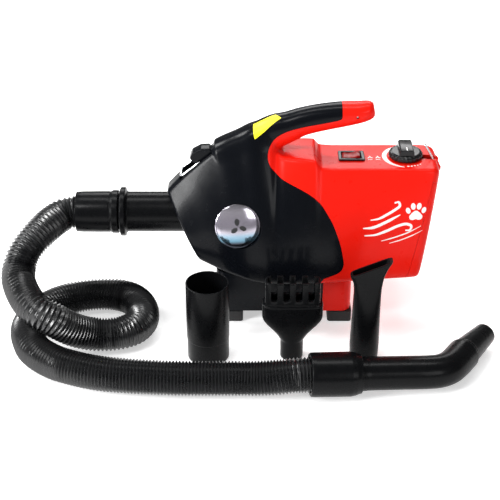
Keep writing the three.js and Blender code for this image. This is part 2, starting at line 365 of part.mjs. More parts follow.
// ---------------------------------------------------------------- loose nozzles
const oval = (cx, a, b, z, n = 20, p = 2.0, lean = 0) => { const r = []; for (let i = 0; i < n; i++) { const t = i / n * 2 * Math.PI, c = Math.cos(t), s = Math.sin(t); const x = a * Math.sign(c) * Math.abs(c) ** (2 / p), y = b * Math.sign(s) * Math.abs(s) ** (2 / p); r.push([cx + x, NOZZLE_Y + y, z + lean * x]); } return r; };
put('round_nozzle', turn([[22.6, 0], [24.4, 0], [25.3, 2.4], [25.3, 29], [25.8, 30.4], [25.8, 104.9], [23.7, 104.9], [23.7, 32]], 24, Z, [-114.5, NOZZLE_Y, 0]), M.black);
{
  const cx = -13.5;
  const out = skin([oval(cx, 14, 14, 0), oval(cx, 14, 14, 25), oval(cx, 16, 14, 29, 20, 2.2), oval(cx, 20, 14, 36, 20, 2.6), oval(cx, 31, 14, 50, 20, 4.5), oval(cx, 36.5, 14, 58, 20, 7), oval(cx, 36.5, 14, 77, 20, 7), oval(cx, 36.2, 13.6, 78, 20, 7), oval(cx, 33, 12, 78.6, 20, 9), oval(cx, 32.7, 11.4, 108.6, 20, 9)]);
  const bore = skin([oval(cx, 11.8, 11.8, -2), oval(cx, 11.8, 11.8, 27), oval(cx, 13.4, 11.7, 31, 20, 2.2), oval(cx, 17.4, 11.6, 38, 20, 2.6), oval(cx, 28.4, 11, 53, 20, 4.5), oval(cx, 31.5, 11, 60, 20, 6), oval(cx, 31, 8, 73, 20, 7), oval(cx, 30.4, 6.4, 79, 20, 9), oval(cx, 30, 5.8, 112, 20, 9)]);
  const gaps = [-1.5, -.5, .5, 1.5].map((k) => box(cx + k * 14.7 - 3.8, cx + k * 14.7 + 3.8, NOZZLE_Y - 20, NOZZLE_Y + 20, 84, 115));
  put('comb_nozzle', cutAll(out, bore, ...gaps), M.black);
}
{
  const out = skin([oval(74.4, 17.2, 17.2, 0), oval(74.4, 17.8, 17.8, 18), oval(74.5, 17.2, 16.4, 40, 20, 2.2), oval(74.7, 16.6, 13, 70, 20, 2.6, .05), oval(75, 16.4, 10.4, 92, 20, 3.4, .18), oval(75.6, 17.8, 8.6, 108, 20, 5, .32), oval(76.8, 21, 7.8, 118, 20, 6, .4), oval(78, 24.6, 7.4, 126.5, 20, 7, .43)]);
  const bore = skin([oval(74.4, 15.4, 15.4, -2), oval(74.4, 15.6, 15.6, 18), oval(74.5, 15, 14.2, 40, 20, 2.2), oval(74.7, 14.4, 10.8, 70, 20, 2.6, .05), oval(75, 14.2, 8.2, 92, 20, 3.4, .18), oval(75.6, 15.6, 6.4, 108, 20, 5, .32), oval(76.8, 18.8, 5.6, 118, 20, 6, .4), oval(78, 22.4, 5.2, 128.5, 20, 7, .43)]);
  put('flat_nozzle', out.subtract(bore), M.black);
}

export default group;
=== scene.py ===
import bpy
import bmesh
import math
import numpy as np
import openvdb as vdb
from mathutils import Vector, Matrix
from mathutils.bvhtree import BVHTree


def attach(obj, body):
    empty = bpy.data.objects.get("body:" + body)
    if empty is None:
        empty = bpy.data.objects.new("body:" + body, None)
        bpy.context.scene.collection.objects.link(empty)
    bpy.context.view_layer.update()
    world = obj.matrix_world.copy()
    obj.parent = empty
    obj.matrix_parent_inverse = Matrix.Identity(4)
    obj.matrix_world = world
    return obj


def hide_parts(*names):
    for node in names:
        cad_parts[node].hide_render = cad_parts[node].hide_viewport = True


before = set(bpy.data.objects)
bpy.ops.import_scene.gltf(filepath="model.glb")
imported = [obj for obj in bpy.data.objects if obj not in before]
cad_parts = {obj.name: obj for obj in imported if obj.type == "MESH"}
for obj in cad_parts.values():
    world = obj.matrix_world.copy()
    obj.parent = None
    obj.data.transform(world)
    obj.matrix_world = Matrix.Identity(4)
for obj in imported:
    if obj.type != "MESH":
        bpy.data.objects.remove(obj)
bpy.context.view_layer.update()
scene = bpy.context.scene

# ------------------------------------------------------------------ frame: shapes are written in model millimetres
ORIGIN = np.array([47.78, 37.8, 0.0])


def row(p):
    return (np.asarray(p, float) + ORIGIN) / 1000.0


def rowv(x, y, z):
    return Vector(row((x, y, z)))


# ------------------------------------------------------------------ camera
EL = math.radians(31.5)
cam_data = bpy.data.cameras.new("camera")
cam = bpy.data.objects.new("camera", cam_data)
scene.collection.objects.link(cam)
scene.camera = cam
target = rowv(-64, 0, 71)
back = Vector((0, -math.cos(EL), math.sin(EL)))
cam.location = target + back * 1.55
cam.rotation_mode = "QUATERNION"
cam.rotation_quaternion = (-back).to_track_quat("-Z", "Y")
cam_data.sensor_width = 36.0
cam_data.lens = 87.12
cam_data.clip_start, cam_data.clip_end = 0.05, 60


# ------------------------------------------------------------------ mesh helpers
def new_object(name, V, F, material=None, angle=32, mm=True):
    me = bpy.data.meshes.new(name)
    P = row(V) if mm else np.asarray(V, float)
    me.from_pydata([tuple(p) for p in P], [], [tuple(int(i) for i in f) for f in F])
    me.validate()
    me.update()
    ob = bpy.data.objects.new(name, me)
    scene.collection.objects.link(ob)
    if material is not None:
        me.materials.append(material)
    smooth(ob, angle)
    return ob


def smooth(ob, angle=32):
    me = ob.data
    me.polygons.foreach_set("use_smooth", np.ones(len(me.polygons), bool))
    me.set_sharp_from_angle(angle=math.radians(angle))
    me.update()


def mesh_from_arrays(name, P, quads=None, tris=None):
    """A mesh from numpy arrays of points (metres) and faces, fast on big surfaces."""
    me = bpy.data.meshes.new(name)
    faces = []
    nq = 0 if quads is None else len(quads)
    nt = 0 if tris is None else len(tris)
    loops = np.concatenate([a.ravel() for a in (quads, tris) if a is not None and len(a)]).astype(np.int32)
    me.vertices.add(len(P))
    me.vertices.foreach_set("co", np.asarray(P, np.float32).ravel())
    me.loops.add(len(loops))
    me.loops.foreach_set("vertex_index", loops)
    me.polygons.add(nq + nt)
    starts = np.concatenate([np.arange(nq) * 4, nq * 4 + np.arange(nt) * 3]).astype(np.int32)
    me.polygons.foreach_set("loop_start", starts)
    me.update(calc_edges=True)
    me.validate()
    return me


def outward(ob):
    bm = bmesh.new()
    bm.from_mesh(ob.data)
    bmesh.ops.recalc_face_normals(bm, faces=bm.faces)
    if bm.calc_volume(signed=True) < 0:
        bmesh.ops.reverse_faces(bm, faces=bm.faces)
    bm.to_mesh(ob.data)
    bm.free()
    ob.data.update()
    return ob


def put(ob, body, replaces=()):
    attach(ob, body)
    if replaces:
        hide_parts(*([replaces] if isinstance(replaces, str) else replaces))
    return ob


def bevel(ob, width_mm, segments=2, angle=38):
    m = ob.modifiers.new("edges", "BEVEL")
    m.width = width_mm / 1000
    m.segments = segments
    m.limit_method = "ANGLE"
    m.angle_limit = math.radians(angle)
    m.harden_normals = False
    m.use_clamp_overlap = True
    apply_modifiers(ob)
    smooth(ob, 34)
    return ob


def apply_modifiers(ob):
    dg = bpy.context.evaluated_depsgraph_get()
    me = bpy.data.meshes.new_from_object(ob.evaluated_get(dg), preserve_all_data_layers=True, depsgraph=dg)
    ob.modifiers.clear()
    old = ob.data
    ob.data = me
    if old.users == 0:
        bpy.data.meshes.remove(old)
    return ob


def boolean(ob, op, *cutters, keep=False):
    """Cuts or joins with closed solids; the exact solver steps in where the quick one can't."""
    for c in cutters:
        before = len(ob.data.vertices), len(ob.data.polygons)
        for solver in ("MANIFOLD", "EXACT"):
            m = ob.modifiers.new("bool", "BOOLEAN")
            m.operation = op
            m.object = c
            m.solver = solver
            dg = bpy.context.evaluated_depsgraph_get()
            me = bpy.data.meshes.new_from_object(ob.evaluated_get(dg), depsgraph=dg)
            ob.modifiers.clear()
            if (len(me.vertices), len(me.polygons)) != before and len(me.polygons):
                old = ob.data
                ob.data = me
                if old.users == 0:
                    bpy.data.meshes.remove(old)
                break
            bpy.data.meshes.remove(me)
        else:
            print("boolean changed nothing:", ob.name, op, c.name)
        if not keep:
            bpy.data.objects.remove(c)
    return ob


def copy_of(ob, name):
    c = bpy.data.objects.new(name, ob.data.copy())
    scene.collection.objects.link(c)
    return c


# ------------------------------------------------------------------ curves
def monotone(P, sub):
    """Smooth interpolation of rows that never overshoots, over the first column."""
    P = np.asarray(P, float)
    x = P[:, 0]
    n = len(P)
    d = (P[1:] - P[:-1]) / (x[1:] - x[:-1])[:, None]
    m = np.zeros_like(P)
    m[0], m[-1] = d[0], d[-1]
    a, b = d[:-1], d[1:]
    with np.errstate(divide="ignore", invalid="ignore"):
        h = 2 * a * b / np.where(a + b == 0, 1, a + b)
    m[1:-1] = np.where(a * b > 0, h, 0)
    out = []
    for i in range(n - 1):
        h = x[i + 1] - x[i]
        for j in range(sub):
            t = j / sub
            t2, t3 = t * t, t * t * t
            out.append((2 * t3 - 3 * t2 + 1) * P[i] + (t3 - 2 * t2 + t) * m[i] * h + (-2 * t3 + 3 * t2) * P[i + 1] + (t3 - t2) * m[i + 1] * h)
    out.append(P[-1])
    return np.array(out)


def catmull(P, per=8):
    """Centripetal curve through points."""
    P = np.asarray(P, float)
    Q = np.vstack([2 * P[0] - P[1], P, 2 * P[-1] - P[-2]])
    out = []
    for i in range(1, len(Q) - 2):
        p0, p1, p2, p3 = Q[i - 1], Q[i], Q[i + 1], Q[i + 2]
        t0 = 0.0
        t1 = t0 + max(np.linalg.norm(p1 - p0), 1e-6) ** 0.5
        t2 = t1 + max(np.linalg.norm(p2 - p1), 1e-6) ** 0.5
        t3 = t2 + max(np.linalg.norm(p3 - p2), 1e-6) ** 0.5
        for j in range(per):
            t = t1 + (t2 - t1) * j / per
            a1 = (t1 - t) / (t1 - t0) * p0 + (t - t0) / (t1 - t0) * p1
            a2 = (t2 - t) / (t2 - t1) * p1 + (t - t1) / (t2 - t1) * p2
            a3 = (t3 - t) / (t3 - t2) * p2 + (t - t2) / (t3 - t2) * p3
            b1 = (t2 - t) / (t2 - t0) * a1 + (t - t0) / (t2 - t0) * a2
            b2 = (t3 - t) / (t3 - t1) * a2 + (t - t1) / (t3 - t1) * a3
            out.append((t2 - t) / (t2 - t1) * b1 + (t - t1) / (t2 - t1) * b2)
    out.append(P[-1])
    return np.array(out)


def spaced(P, step):
    P = np.asarray(P, float)
    s = np.concatenate([[0], np.cumsum(np.linalg.norm(np.diff(P, axis=0), axis=1))])
    n = max(2, int(round(s[-1] / step)) + 1)
    u = np.linspace(0, s[-1], n)
    return np.stack([np.interp(u, s, P[:, k]) for k in range(3)], 1), u


def frames_along(P):
    T = np.gradient(P, axis=0)
    T /= np.linalg.norm(T, axis=1)[:, None]
    n = np.cross(T[0], [0, 0, 1.0])
    if np.linalg.norm(n) < 1e-6:
        n = np.cross(T[0], [0, 1.0, 0])
    n /= np.linalg.norm(n)
    N = [n]
    for i in range(1, len(P)):
        v = N[-1] - T[i] * (N[-1] @ T[i])
        N.append(v / np.linalg.norm(v))
    N = np.array(N)
    return T, N, np.cross(T, N)


def fillet(pts, r, closed=False, n=4):
    """Rounds the corners of a polyline of (x, y) pairs. r is one radius, or one for each point."""
    pts = [np.array(p, float) for p in pts]
    k = len(pts)
    rs = [r] * k if np.isscalar(r) else list(r)
    out = []
    for i, p in enumerate(pts):
        if not closed and i in (0, k - 1) or rs[i] <= 0:
            out.append(p)
            continue
        a, b = pts[(i - 1) % k] - p, pts[(i + 1) % k] - p
        la, lb = np.linalg.norm(a), np.linalg.norm(b)
        if la < 1e-9 or lb < 1e-9:
            out.append(p)
            continue
        c = np.clip(a @ b / la / lb, -1, 1)
        half = math.acos(c) / 2
        if half > math.radians(88):
            out.append(p)
            continue
        t = min(rs[i] / math.tan(half), 0.46 * la, 0.46 * lb)
        p0, p2 = p + a / la * t, p + b / lb * t
        for j in range(n + 1):
            u = j / n
            out.append((1 - u) ** 2 * p0 + 2 * u * (1 - u) * p + u * u * p2)
    return out


# ------------------------------------------------------------------ solids
def rings_mesh(rings, cap0=True, cap1=True, closed=False):
    n = len(rings[0])
    V = np.concatenate(rings)
    F = []
    m = len(rings)
    for i in range(m if closed else m - 1):
        a0, b0 = i * n, ((i + 1) % m) * n
        for j in range(n):
            k = (j + 1) % n
            F.append((a0 + j, a0 + k, b0 + k, b0 + j))
    if not closed:
        if cap0:
            F.append(tuple(reversed(range(n))))
        if cap1:
            F.append(tuple(range((m - 1) * n, m * n)))
    return V, F


def basis(axis):
    a = np.asarray(axis, float)
    a = a / np.linalg.norm(a)
    x = np.cross([0, 0, 1.0], a)
    if np.linalg.norm(x) < 1e-6:
        x = np.array([1.0, 0, 0])
    x /= np.linalg.norm(x)
    return x, np.cross(a, x), a


def lathe(name, profile, axis, pos, material, seg=96, r=0.6, n=3, angle=32):
    """Turned solid: (radius, height) pairs, rounded at their corners. A profile that starts off the axis closes on itself."""
    closed = profile[0][0] > 0
    pts = fillet(profile, r, closed, n)
    X, Y, A = basis(axis)
    pos = np.asarray(pos, float)
    t = np.linspace(0, 2 * math.pi, seg, endpoint=False)
    ring = np.outer(np.cos(t), X) + np.outer(np.sin(t), Y)
    V, F, index = [], [], []
    count = 0
    for q in pts:
        if q[0] < 1e-6:
            V.append((pos + A * q[1])[None])
            index.append(np.full(seg, count))
            count += 1
        else:
            V.append(pos + A * q[1] + ring * q[0])
            index.append(np.arange(count, count + seg))
            count += seg
    m = len(pts)
    for i in range(m if closed else m - 1):
        a, b = index[i], index[(i + 1) % m]
        for j in range(seg):
            k = (j + 1) % seg
            f = [a[j], a[k], b[k], b[j]]
            f = [v for u, v in enumerate(f) if v not in f[:u]]
            if len(f) > 2:
                F.append(tuple(f))
    return outward(new_object(name, np.concatenate(V), F, material, angle))


def tube(name, path, r_out, r_in, material, seg=64, angle=32):
    """Pipe along a path: r_out and r_in are numbers or one value for each point. r_in None is a solid bar."""
    P = np.asarray(path, float)
    T, N, B = frames_along(P)
    t = np.linspace(0, 2 * math.pi, seg, endpoint=False)
    ro = np.broadcast_to(r_out, len(P))
    c = [P[i] + ro[i] * (np.outer(np.cos(t), N[i]) + np.outer(np.sin(t), B[i])) for i in range(len(P))]
    if r_in is None:
        V, F = rings_mesh(c)
    else:
        ri = np.broadcast_to(r_in, len(P))
        c += [P[i] + ri[i] * (np.outer(np.cos(t), N[i]) + np.outer(np.sin(t), B[i])) for i in range(len(P) - 1, -1, -1)]
        V, F = rings_mesh(c, closed=True)
    return outward(new_object(name, V, F, material, angle))


def prism(name, outline, y0, y1, material=None, r=0, n=3, plane="XZ", angle=32):
    """Straight solid over an outline: XZ runs along Y, XY along Z, YZ along X."""
    pts = fillet(outline, r, True, n) if r else [np.array(p, float) for p in outline]
    k = len(pts)

    def at(p, h):
        return {"XZ": (p[0], h, p[1]), "XY": (p[0], p[1], h), "YZ": (h, p[0], p[1])}[plane]

    V = [at(p, y0) for p in pts] + [at(p, y1) for p in pts]
    F = [(j, (j + 1) % k, k + (j + 1) % k, k + j) for j in range(k)] + [tuple(range(k)), tuple(range(k, 2 * k))]
    return outward(new_object(name, V, F, material, angle))


def slab(name, x0, x1, y0, y1, z0, z1, material=None, r=0, plane="XY", n=4):
    """Box with rounded upright corners, upright in the plane's own sense."""
    if plane == "XY":
        return prism(name, [(x0, y0), (x1, y0), (x1, y1), (x0, y1)], z0, z1, material, r, n, "XY")
    if plane == "XZ":
        return prism(name, [(x0, z0), (x1, z0), (x1, z1), (x0, z1)], y0, y1, material, r, n, "XZ")
    return prism(name, [(y0, z0), (y1, z0), (y1, z1), (y0, z1)], x0, x1, material, r, n, "YZ")


def rod(name, r, h0, h1, axis, pos, material=None, seg=48):
    return lathe(name, [(0, h0), (r, h0), (r, h1), (0, h1)], axis, pos, material, seg, 0)


# ------------------------------------------------------------------ materials
def nodes_of(m):
    m.use_nodes = True
    t = m.node_tree
    return t, t.nodes, t.links, t.nodes["Principled BSDF"]


def noise(N, L, scale, detail=3, rough=0.55, stretch=None, kind="ShaderNodeTexNoise"):
    co = N.new("ShaderNodeTexCoord")
    tex = N.new(kind)
    if kind == "ShaderNodeTexNoise":
        tex.inputs["Detail"].default_value = detail
        tex.inputs["Roughness"].default_value = rough
    tex.inputs["Scale"].default_value = scale
    if stretch:
        mp = N.new("ShaderNodeMapping")
        mp.inputs["Scale"].default_value = stretch
        L.new(co.outputs["Object"], mp.inputs["Vector"])
        L.new(mp.outputs["Vector"], tex.inputs["Vector"])
    else:
        L.new(co.outputs["Object"], tex.inputs["Vector"])
    return tex


def ranged(N, L, value, lo, hi, a=0.3, b=0.7):
    r = N.new("ShaderNodeMapRange")
    r.inputs["From Min"].default_value = a
    r.inputs["From Max"].default_value = b
    r.inputs["To Min"].default_value = lo
    r.inputs["To Max"].default_value = hi
    L.new(value, r.inputs["Value"])
    return r.outputs["Result"]


def material(name, color, rough, metal=0.0, vary=0.12, grain=0.0, grain_scale=900, wave=0.0, coat=0.0, rough_span=0.06, specular=0.5, stretch=None, tint=None, edge=0.0):
    """Moulded or machined surface: slow colour and gloss variation, fine grain, a slight waviness and paler colour on
    sharp convex edges.
    """
    m = bpy.data.materials.new(name)
    t, N, L, b = nodes_of(m)
    b.inputs["Metallic"].default_value = metal
    b.inputs["Specular IOR Level"].default_value = specular
    b.inputs["Coat Weight"].default_value = coat
    b.inputs["Coat Roughness"].default_value = 0.06
    slow = noise(N, L, 22, 4, 0.6, stretch)
    mix = N.new("ShaderNodeMix")
    mix.data_type = "RGBA"
    other = tint or [c * (1 - vary) for c in color]
    mix.inputs["A"].default_value = (*other, 1)
    mix.inputs["B"].default_value = (*color, 1)
    L.new(ranged(N, L, slow.outputs["Fac"], 0, 1), mix.inputs["Factor"])
    colour = mix.outputs["Result"]
    # colour made paler on sharp convex edges, by pointiness
    if edge > 0:
        geo = N.new("ShaderNodeNewGeometry")
        pale_edge_mix = N.new("ShaderNodeMix")
        pale_edge_mix.data_type = "RGBA"
        pale_edge_mix.inputs["B"].default_value = (*[min(1, c * 1.6 + 0.03) for c in color], 1)
        L.new(colour, pale_edge_mix.inputs["A"])
        L.new(ranged(N, L, geo.outputs["Pointiness"], 0, edge, 0.53, 0.62), pale_edge_mix.inputs["Factor"])
        colour = pale_edge_mix.outputs["Result"]
    L.new(colour, b.inputs["Base Color"])
    smudge = noise(N, L, 55, 5, 0.65, stretch)
    L.new(ranged(N, L, smudge.outputs["Fac"], max(rough - rough_span, 0.02), rough + rough_span), b.inputs["Roughness"])
    last = None
    if wave > 0:
        w = noise(N, L, 34, 1, 0.4)
        bump = N.new("ShaderNodeBump")
        bump.inputs["Strength"].default_value = wave
        bump.inputs["Distance"].default_value = 0.0012
        L.new(w.outputs["Fac"], bump.inputs["Height"])
        last = bump
    if grain > 0:
        g = noise(N, L, grain_scale, 3, 0.6, stretch)
        bump = N.new("ShaderNodeBump")
        bump.inputs["Strength"].default_value = grain
        bump.inputs["Distance"].default_value = 0.0004
        L.new(g.outputs["Fac"], bump.inputs["Height"])
        if last:
            L.new(last.outputs["Normal"], bump.inputs["Normal"])
        last = bump
    if last:
        L.new(last.outputs["Normal"], b.inputs["Normal"])
    return m


BLACK = material("gloss_black_plastic", (0.0026, 0.0032, 0.0048), 0.25, coat=0.03, wave=0.02, grain=0.03, grain_scale=1500, rough_span=0.035, edge=0.06, specular=0.10)
RED = material("gloss_red_plastic", (0.78, 0.010, 0.004), 0.3, coat=0.04, wave=0.02, grain=0.02, grain_scale=1500, rough_span=0.04, vary=0.05, edge=0.08, specular=0.09)
SATIN = material("satin_black_plastic", (0.0030, 0.0032, 0.0037), 0.28, coat=0.02, grain=0.05, grain_scale=1600, wave=0.02, edge=0.08, specular=0.09)
KNOB = material("knob_black_plastic", (0.006, 0.0063, 0.007), 0.24, coat=0.1, grain=0.02, edge=0.2, specular=0.2)
HOSE = material("hose_black_pe", (0.0075, 0.0078, 0.0086), 0.28, grain=0.06, grain_scale=1300, rough_span=0.06, specular=0.6)
RUBBER = material("black_rubber", (0.014, 0.014, 0.0145), 0.72, grain=0.35, grain_scale=1400, vary=0.25, edge=0.3)
CHROME = material("polished_chrome", (0.80, 0.81, 0.83), 0.07, 1.0, vary=0.03, rough_span=0.025)
# badge metal: its colour bands are painted reflections and highlights laid over the badge's own metallic tint
BADGE = material("metal_badge_with_painted_reflection", (0.5, 0.5, 0.52), 0.12, 0.85, vary=0.04, rough_span=0.03)


def banded(m, stops):
    """Colour in bands from the bottom of the part to its top."""
    t = m.node_tree
    b = next(n for n in t.nodes if n.type == "BSDF_PRINCIPLED")
    co = t.nodes.new("ShaderNodeTexCoord")
    xyz = t.nodes.new("ShaderNodeSeparateXYZ")
    ramp = t.nodes.new("ShaderNodeValToRGB")
    t.links.new(co.outputs["Generated"], xyz.inputs[0])
    t.links.new(xyz.outputs["Z"], ramp.inputs["Fac"])
    while len(ramp.color_ramp.elements) < len(stops):
        ramp.color_ramp.elements.new(0.5)
    for e, (at, c) in zip(ramp.color_ramp.elements, stops):
        e.position = at
        e.color = (*c, 1)
    t.links.new(ramp.outputs["Color"], b.inputs["Base Color"])


# painted reflection: dark at the bottom, then teal, then pale lilac towards the top, standing in for the surroundings
# mirrored in the dome
banded(BADGE, [(0.0, (0.03, 0.032, 0.04)), (0.13, (0.04, 0.045, 0.06)), (0.20, (0.12, 0.24, 0.32)), (0.30, (0.26, 0.38, 0.48)), (0.40, (0.52, 0.49, 0.56)), (0.62, (0.62, 0.57, 0.68)), (0.84, (0.66, 0.62, 0.70)), (1.0, (0.30, 0.29, 0.32))])
STEEL = material("turned_steel", (0.52, 0.53, 0.55), 0.34, 1.0, vary=0.18, grain=0.25, grain_scale=700, stretch=(1.0, 12.0, 12.0))
ALUMINIUM = material("cast_aluminium", (0.62, 0.63, 0.645), 0.45, 1.0, vary=0.2, grain=0.5, grain_scale=1100)
INNER = material("inner_grey_plastic", (0.055, 0.057, 0.062), 0.45, grain=0.2, grain_scale=900)
BOARD = material("green_circuit_board", (0.018, 0.11, 0.035), 0.4, coat=0.4, tint=(0.012, 0.07, 0.022), grain=0.1)
WIRE = material("red_wire_insulation", (0.42, 0.02, 0.015), 0.4, grain=0.1)
COPPER = material("copper_winding", (0.72, 0.30, 0.12), 0.3, 1.0, vary=0.3, grain=0.4, grain_scale=500, stretch=(9, 1, 1))
WHITE_INK = material("white_print", (0.86, 0.86, 0.85), 0.4, grain=0.15, vary=0.04)
YELLOW = material("yellow_sticker", (0.88, 0.80, 0.012), 0.42, grain=0.12, vary=0.06)
DARK_INK = material("dark_print", (0.02, 0.02, 0.022), 0.35, grain=0.1)
BRASS = material("brass_pin", (0.66, 0.47, 0.18), 0.3, 1.0)


def foam_material():
    m = bpy.data.materials.new("open_cell_foam")
    t, N, L, b = nodes_of(m)
    vor = noise(N, L, 620, kind="ShaderNodeTexVoronoi")
    slow = noise(N, L, 40, 3)
    mix = N.new("ShaderNodeMix")
    mix.data_type = "RGBA"
    mix.inputs["A"].default_value = (0.008, 0.008, 0.009, 1)
    mix.inputs["B"].default_value = (0.055, 0.056, 0.06, 1)
    L.new(ranged(N, L, vor.outputs["Distance"], 1, 0, 0.1, 0.65), mix.inputs["Factor"])
    L.new(mix.outputs["Result"], b.inputs["Base Color"])
    L.new(ranged(N, L, slow.outputs["Fac"], 0.8, 0.98), b.inputs["Roughness"])
    bump = N.new("ShaderNodeBump")
    bump.inputs["Strength"].default_value = 0.9
    bump.inputs["Distance"].default_value = 0.001
    L.new(vor.outputs["Distance"], bump.inputs["Height"])
    L.new(bump.outputs["Normal"], b.inputs["Normal"])
    return m


FOAM = foam_material()


def rocker_material():
    m = bpy.data.materials.new("translucent_red_rocker")
    t, N, L, b = nodes_of(m)
    n = noise(N, L, 90, 3)
    mix = N.new("ShaderNodeMix")
    mix.data_type = "RGBA"
    mix.inputs["A"].default_value = (0.16, 0.003, 0.003, 1)
    mix.inputs["B"].default_value = (0.34, 0.008, 0.006, 1)
    L.new(ranged(N, L, n.outputs["Fac"], 0, 1), mix.inputs["Factor"])
    L.new(mix.outputs["Result"], b.inputs["Base Color"])
    b.inputs["Roughness"].default_value = 0.26
    b.inputs["Specular IOR Level"].default_value = 0.15
    b.inputs["Coat Weight"].default_value = 0.04
    b.inputs["Coat Roughness"].default_value = 0.12
    b.inputs["Subsurface Weight"].default_value = 0.0
    return m


ROCKER = rocker_material()
# ------------------------------------------------------------------ the stretch hose, made first
HOSE_POINTS = [
    (-281.8,0,127.5),(-296.7,-3.0,125.7),(-308.1,-13.2,122.9),(-317.6,-25.2,119.5),(-327.2,-36.2,113.7),(-336.4,-45.9,105.7),(-343.7,-55.6,95.8),(-347.5,-66.8,85.6),(-346.8,-80.6,78.5),(-341.7,-94.8,74.3),(-334.7,-108.2,70.4),(-326.0,-120.9,67.4),(-314.4,-130.4,63.4),(-301.0,-132.6,56.0),(-289.4,-130.3,45.7),(-277.4,-127.0,36.3),(-264.2,-123.1,28.8),(-249.8,-119.5,23.7),(-234.5,-116.9,21.9),(-219.4,-112.8,21.8),(-206.3,-104.5,22.4),(-199.0,-90.9,22.5),(-197.7,-75.4,21.8),(-200.8,-60.1,21.8),(-207.8,-46.1,21.8),(-219.0,-35.3,21.8),(-233.5,-29.6,21.8),(-249.0,-27.9,21.8),(-264.7,-28.9,21.8),(-279.9,-32.5,21.8),(-294.4,-38.4,21.8),(-307.2,-47.3,21.8),(-318.2,-58.5,21.8),(-327.3,-71.2,21.8),(-333.9,-85.4,21.8),(-336.9,-100.7,21.8),(-335.3,-116.3,21.8),(-330.5,-131.2,21.8),(-324.2,-145.5,21.8),(-314.2,-157.5,21.8),(-302.3,-167.7,21.8),(-289.3,-176.4,21.8),(-275.0,-182.8,21.8),(-260.4,-188.4,21.8),(-245.4,-193.1,21.8),(-230.1,-196.5,21.8),(-214.6,-198.7,21.8),(-199.0,-200.3,21.8),(-183.4,-201.6,21.8),(-167.8,-202.9,21.8),(-152.1,-203.7,21.8),(-136.5,-204.1,21.8),(-120.8,-204.3,21.8),(-105.1,-204.3,21.8),(-89.5,-204.2,21.8),(-73.8,-204.1,21.8),(-58.1,-204.9,22.4),(-42.5,-206.2,24.0),(-26.8,-207.4,26.3),(-11.0,-207.2,28.4),(-3.1,-206.5,28.4),(4.4,-205.84,28.03),
]
HOSE_R = 21.5
WAND_O = np.array([4.9, -205.8, 28.0])
WAND_D = np.array([0.9955, 0.0870, -0.0370])
WAND_D = WAND_D / np.linalg.norm(WAND_D)


def hose_centreline():
    P = catmull(HOSE_POINTS, 8)
    P = np.vstack([[-274.0, 0, 127.6], P[1:-1], WAND_O + WAND_D * 6.0])
    return P


def make_hose():
    P, s = spaced(hose_centreline(), 0.8)
    for _ in range(6):
        P[1:-1] = 0.25 * P[:-2] + 0.5 * P[1:-1] + 0.25 * P[2:]
    # how tightly the ribs are packed: stretched where it leaves the machine, closed up on the ground
    pitch = np.interp(s, [0, 120, 300, 480, 700, s[-1]], [4.7, 4.6, 4.2, 4.0, 3.9, 3.8])
    turns = np.concatenate([[0], np.cumsum(np.diff(s) / pitch[1:])])
    per = 6
    count = int(turns[-1]) * per
    at = np.interp(np.arange(count + 1) / per * (turns[-1] / (count / per)), turns, s)
    P = np.column_stack([np.interp(at, s, P[:, k]) for k in range(3)])
    T, N, B = frames_along(P)
    seg = 64
    t = np.linspace(0, 2 * math.pi, seg, endpoint=False)
    rng = np.random.default_rng(7)
    uneven = np.interp(at, np.linspace(0, at[-1], 60), rng.normal(0, 0.05, 60))
    rings = []
    for i in range(len(P)):
        w = (0.5 + 0.5 * math.cos(2 * math.pi * i / per)) ** 1.25  # 1 on a rib, 0 in a groove
        end = min(1.0, at[i] / 5.0, (at[-1] - at[i]) / 5.0)
        r = HOSE_R - 0.9 - 2.5 * (1 - w) * end + uneven[i] - 1.2 * (1 - end)
        rings.append(P[i] + (r * np.cos(t))[:, None] * N[i] + (r * np.sin(t))[:, None] * B[i])
    V, F = rings_mesh(rings)
    V[:, 2] = np.maximum(V[:, 2], 0.35)
    n = len(rings[0])
    quads = np.array(F[:-2])
    me = mesh_from_arrays("stretch_hose", row(V), quads=quads)
    ob = bpy.data.objects.new("stretch_hose", me)
    scene.collection.objects.link(ob)
    bm = bmesh.new()
    bm.from_mesh(me)
    bmesh.ops.holes_fill(bm, edges=[e for e in bm.edges if e.is_boundary], sides=0)
    bmesh.ops.recalc_face_normals(bm, faces=bm.faces)
    bm.to_mesh(me)
    bm.free()
    me.materials.append(HOSE)
    smooth(ob, 60)
    return ob, P


hose, hose_path = make_hose()
put(hose, "dryer_body", "hose")

# ------------------------------------------------------------------ cuffs, wand and outlet tube
AX = 128.0
A = np.array([0, 0, AX])
Xd, Yd, Zd = (1, 0, 0), (0, 1, 0), (0, 0, 1)

cuff_machine = lathe("hose_cuff_at_machine", [(22.9, -228.2), (26.6, -228.2), (27.2, -229.0), (27.2, -235.6), (25.9, -237.6), (25.6, -239.2), (25.9, -240.6), (25.7, -272), (25.2, -281.2), (22.6, -281.2)], Xd, (0, 0, AX - 0.25), SATIN, 112, 0.7, 4)
put(cuff_machine, "dryer_body", "hose_cuff_machine")

cuff_wand = lathe("hose_cuff_at_wand", [(21.2, 0.15), (24.6, 0.15), (25.6, 1.2), (25.8, 3.2), (26.0, 5.5), (26.2, 47.0), (25.2, 52.6), (23.5, 57.4), (23.1, 59.6), (21.2, 59.8)], WAND_D, WAND_O, SATIN, 112, [0.4, 0.6, 0.8, 0.8, 2.0, 5.0, 4.0, 2.0, 0.6, 0.3], 4)
put(cuff_wand, "dryer_body", "hose_cuff_wand")


def wand_at(s):
    return WAND_O + WAND_D * s


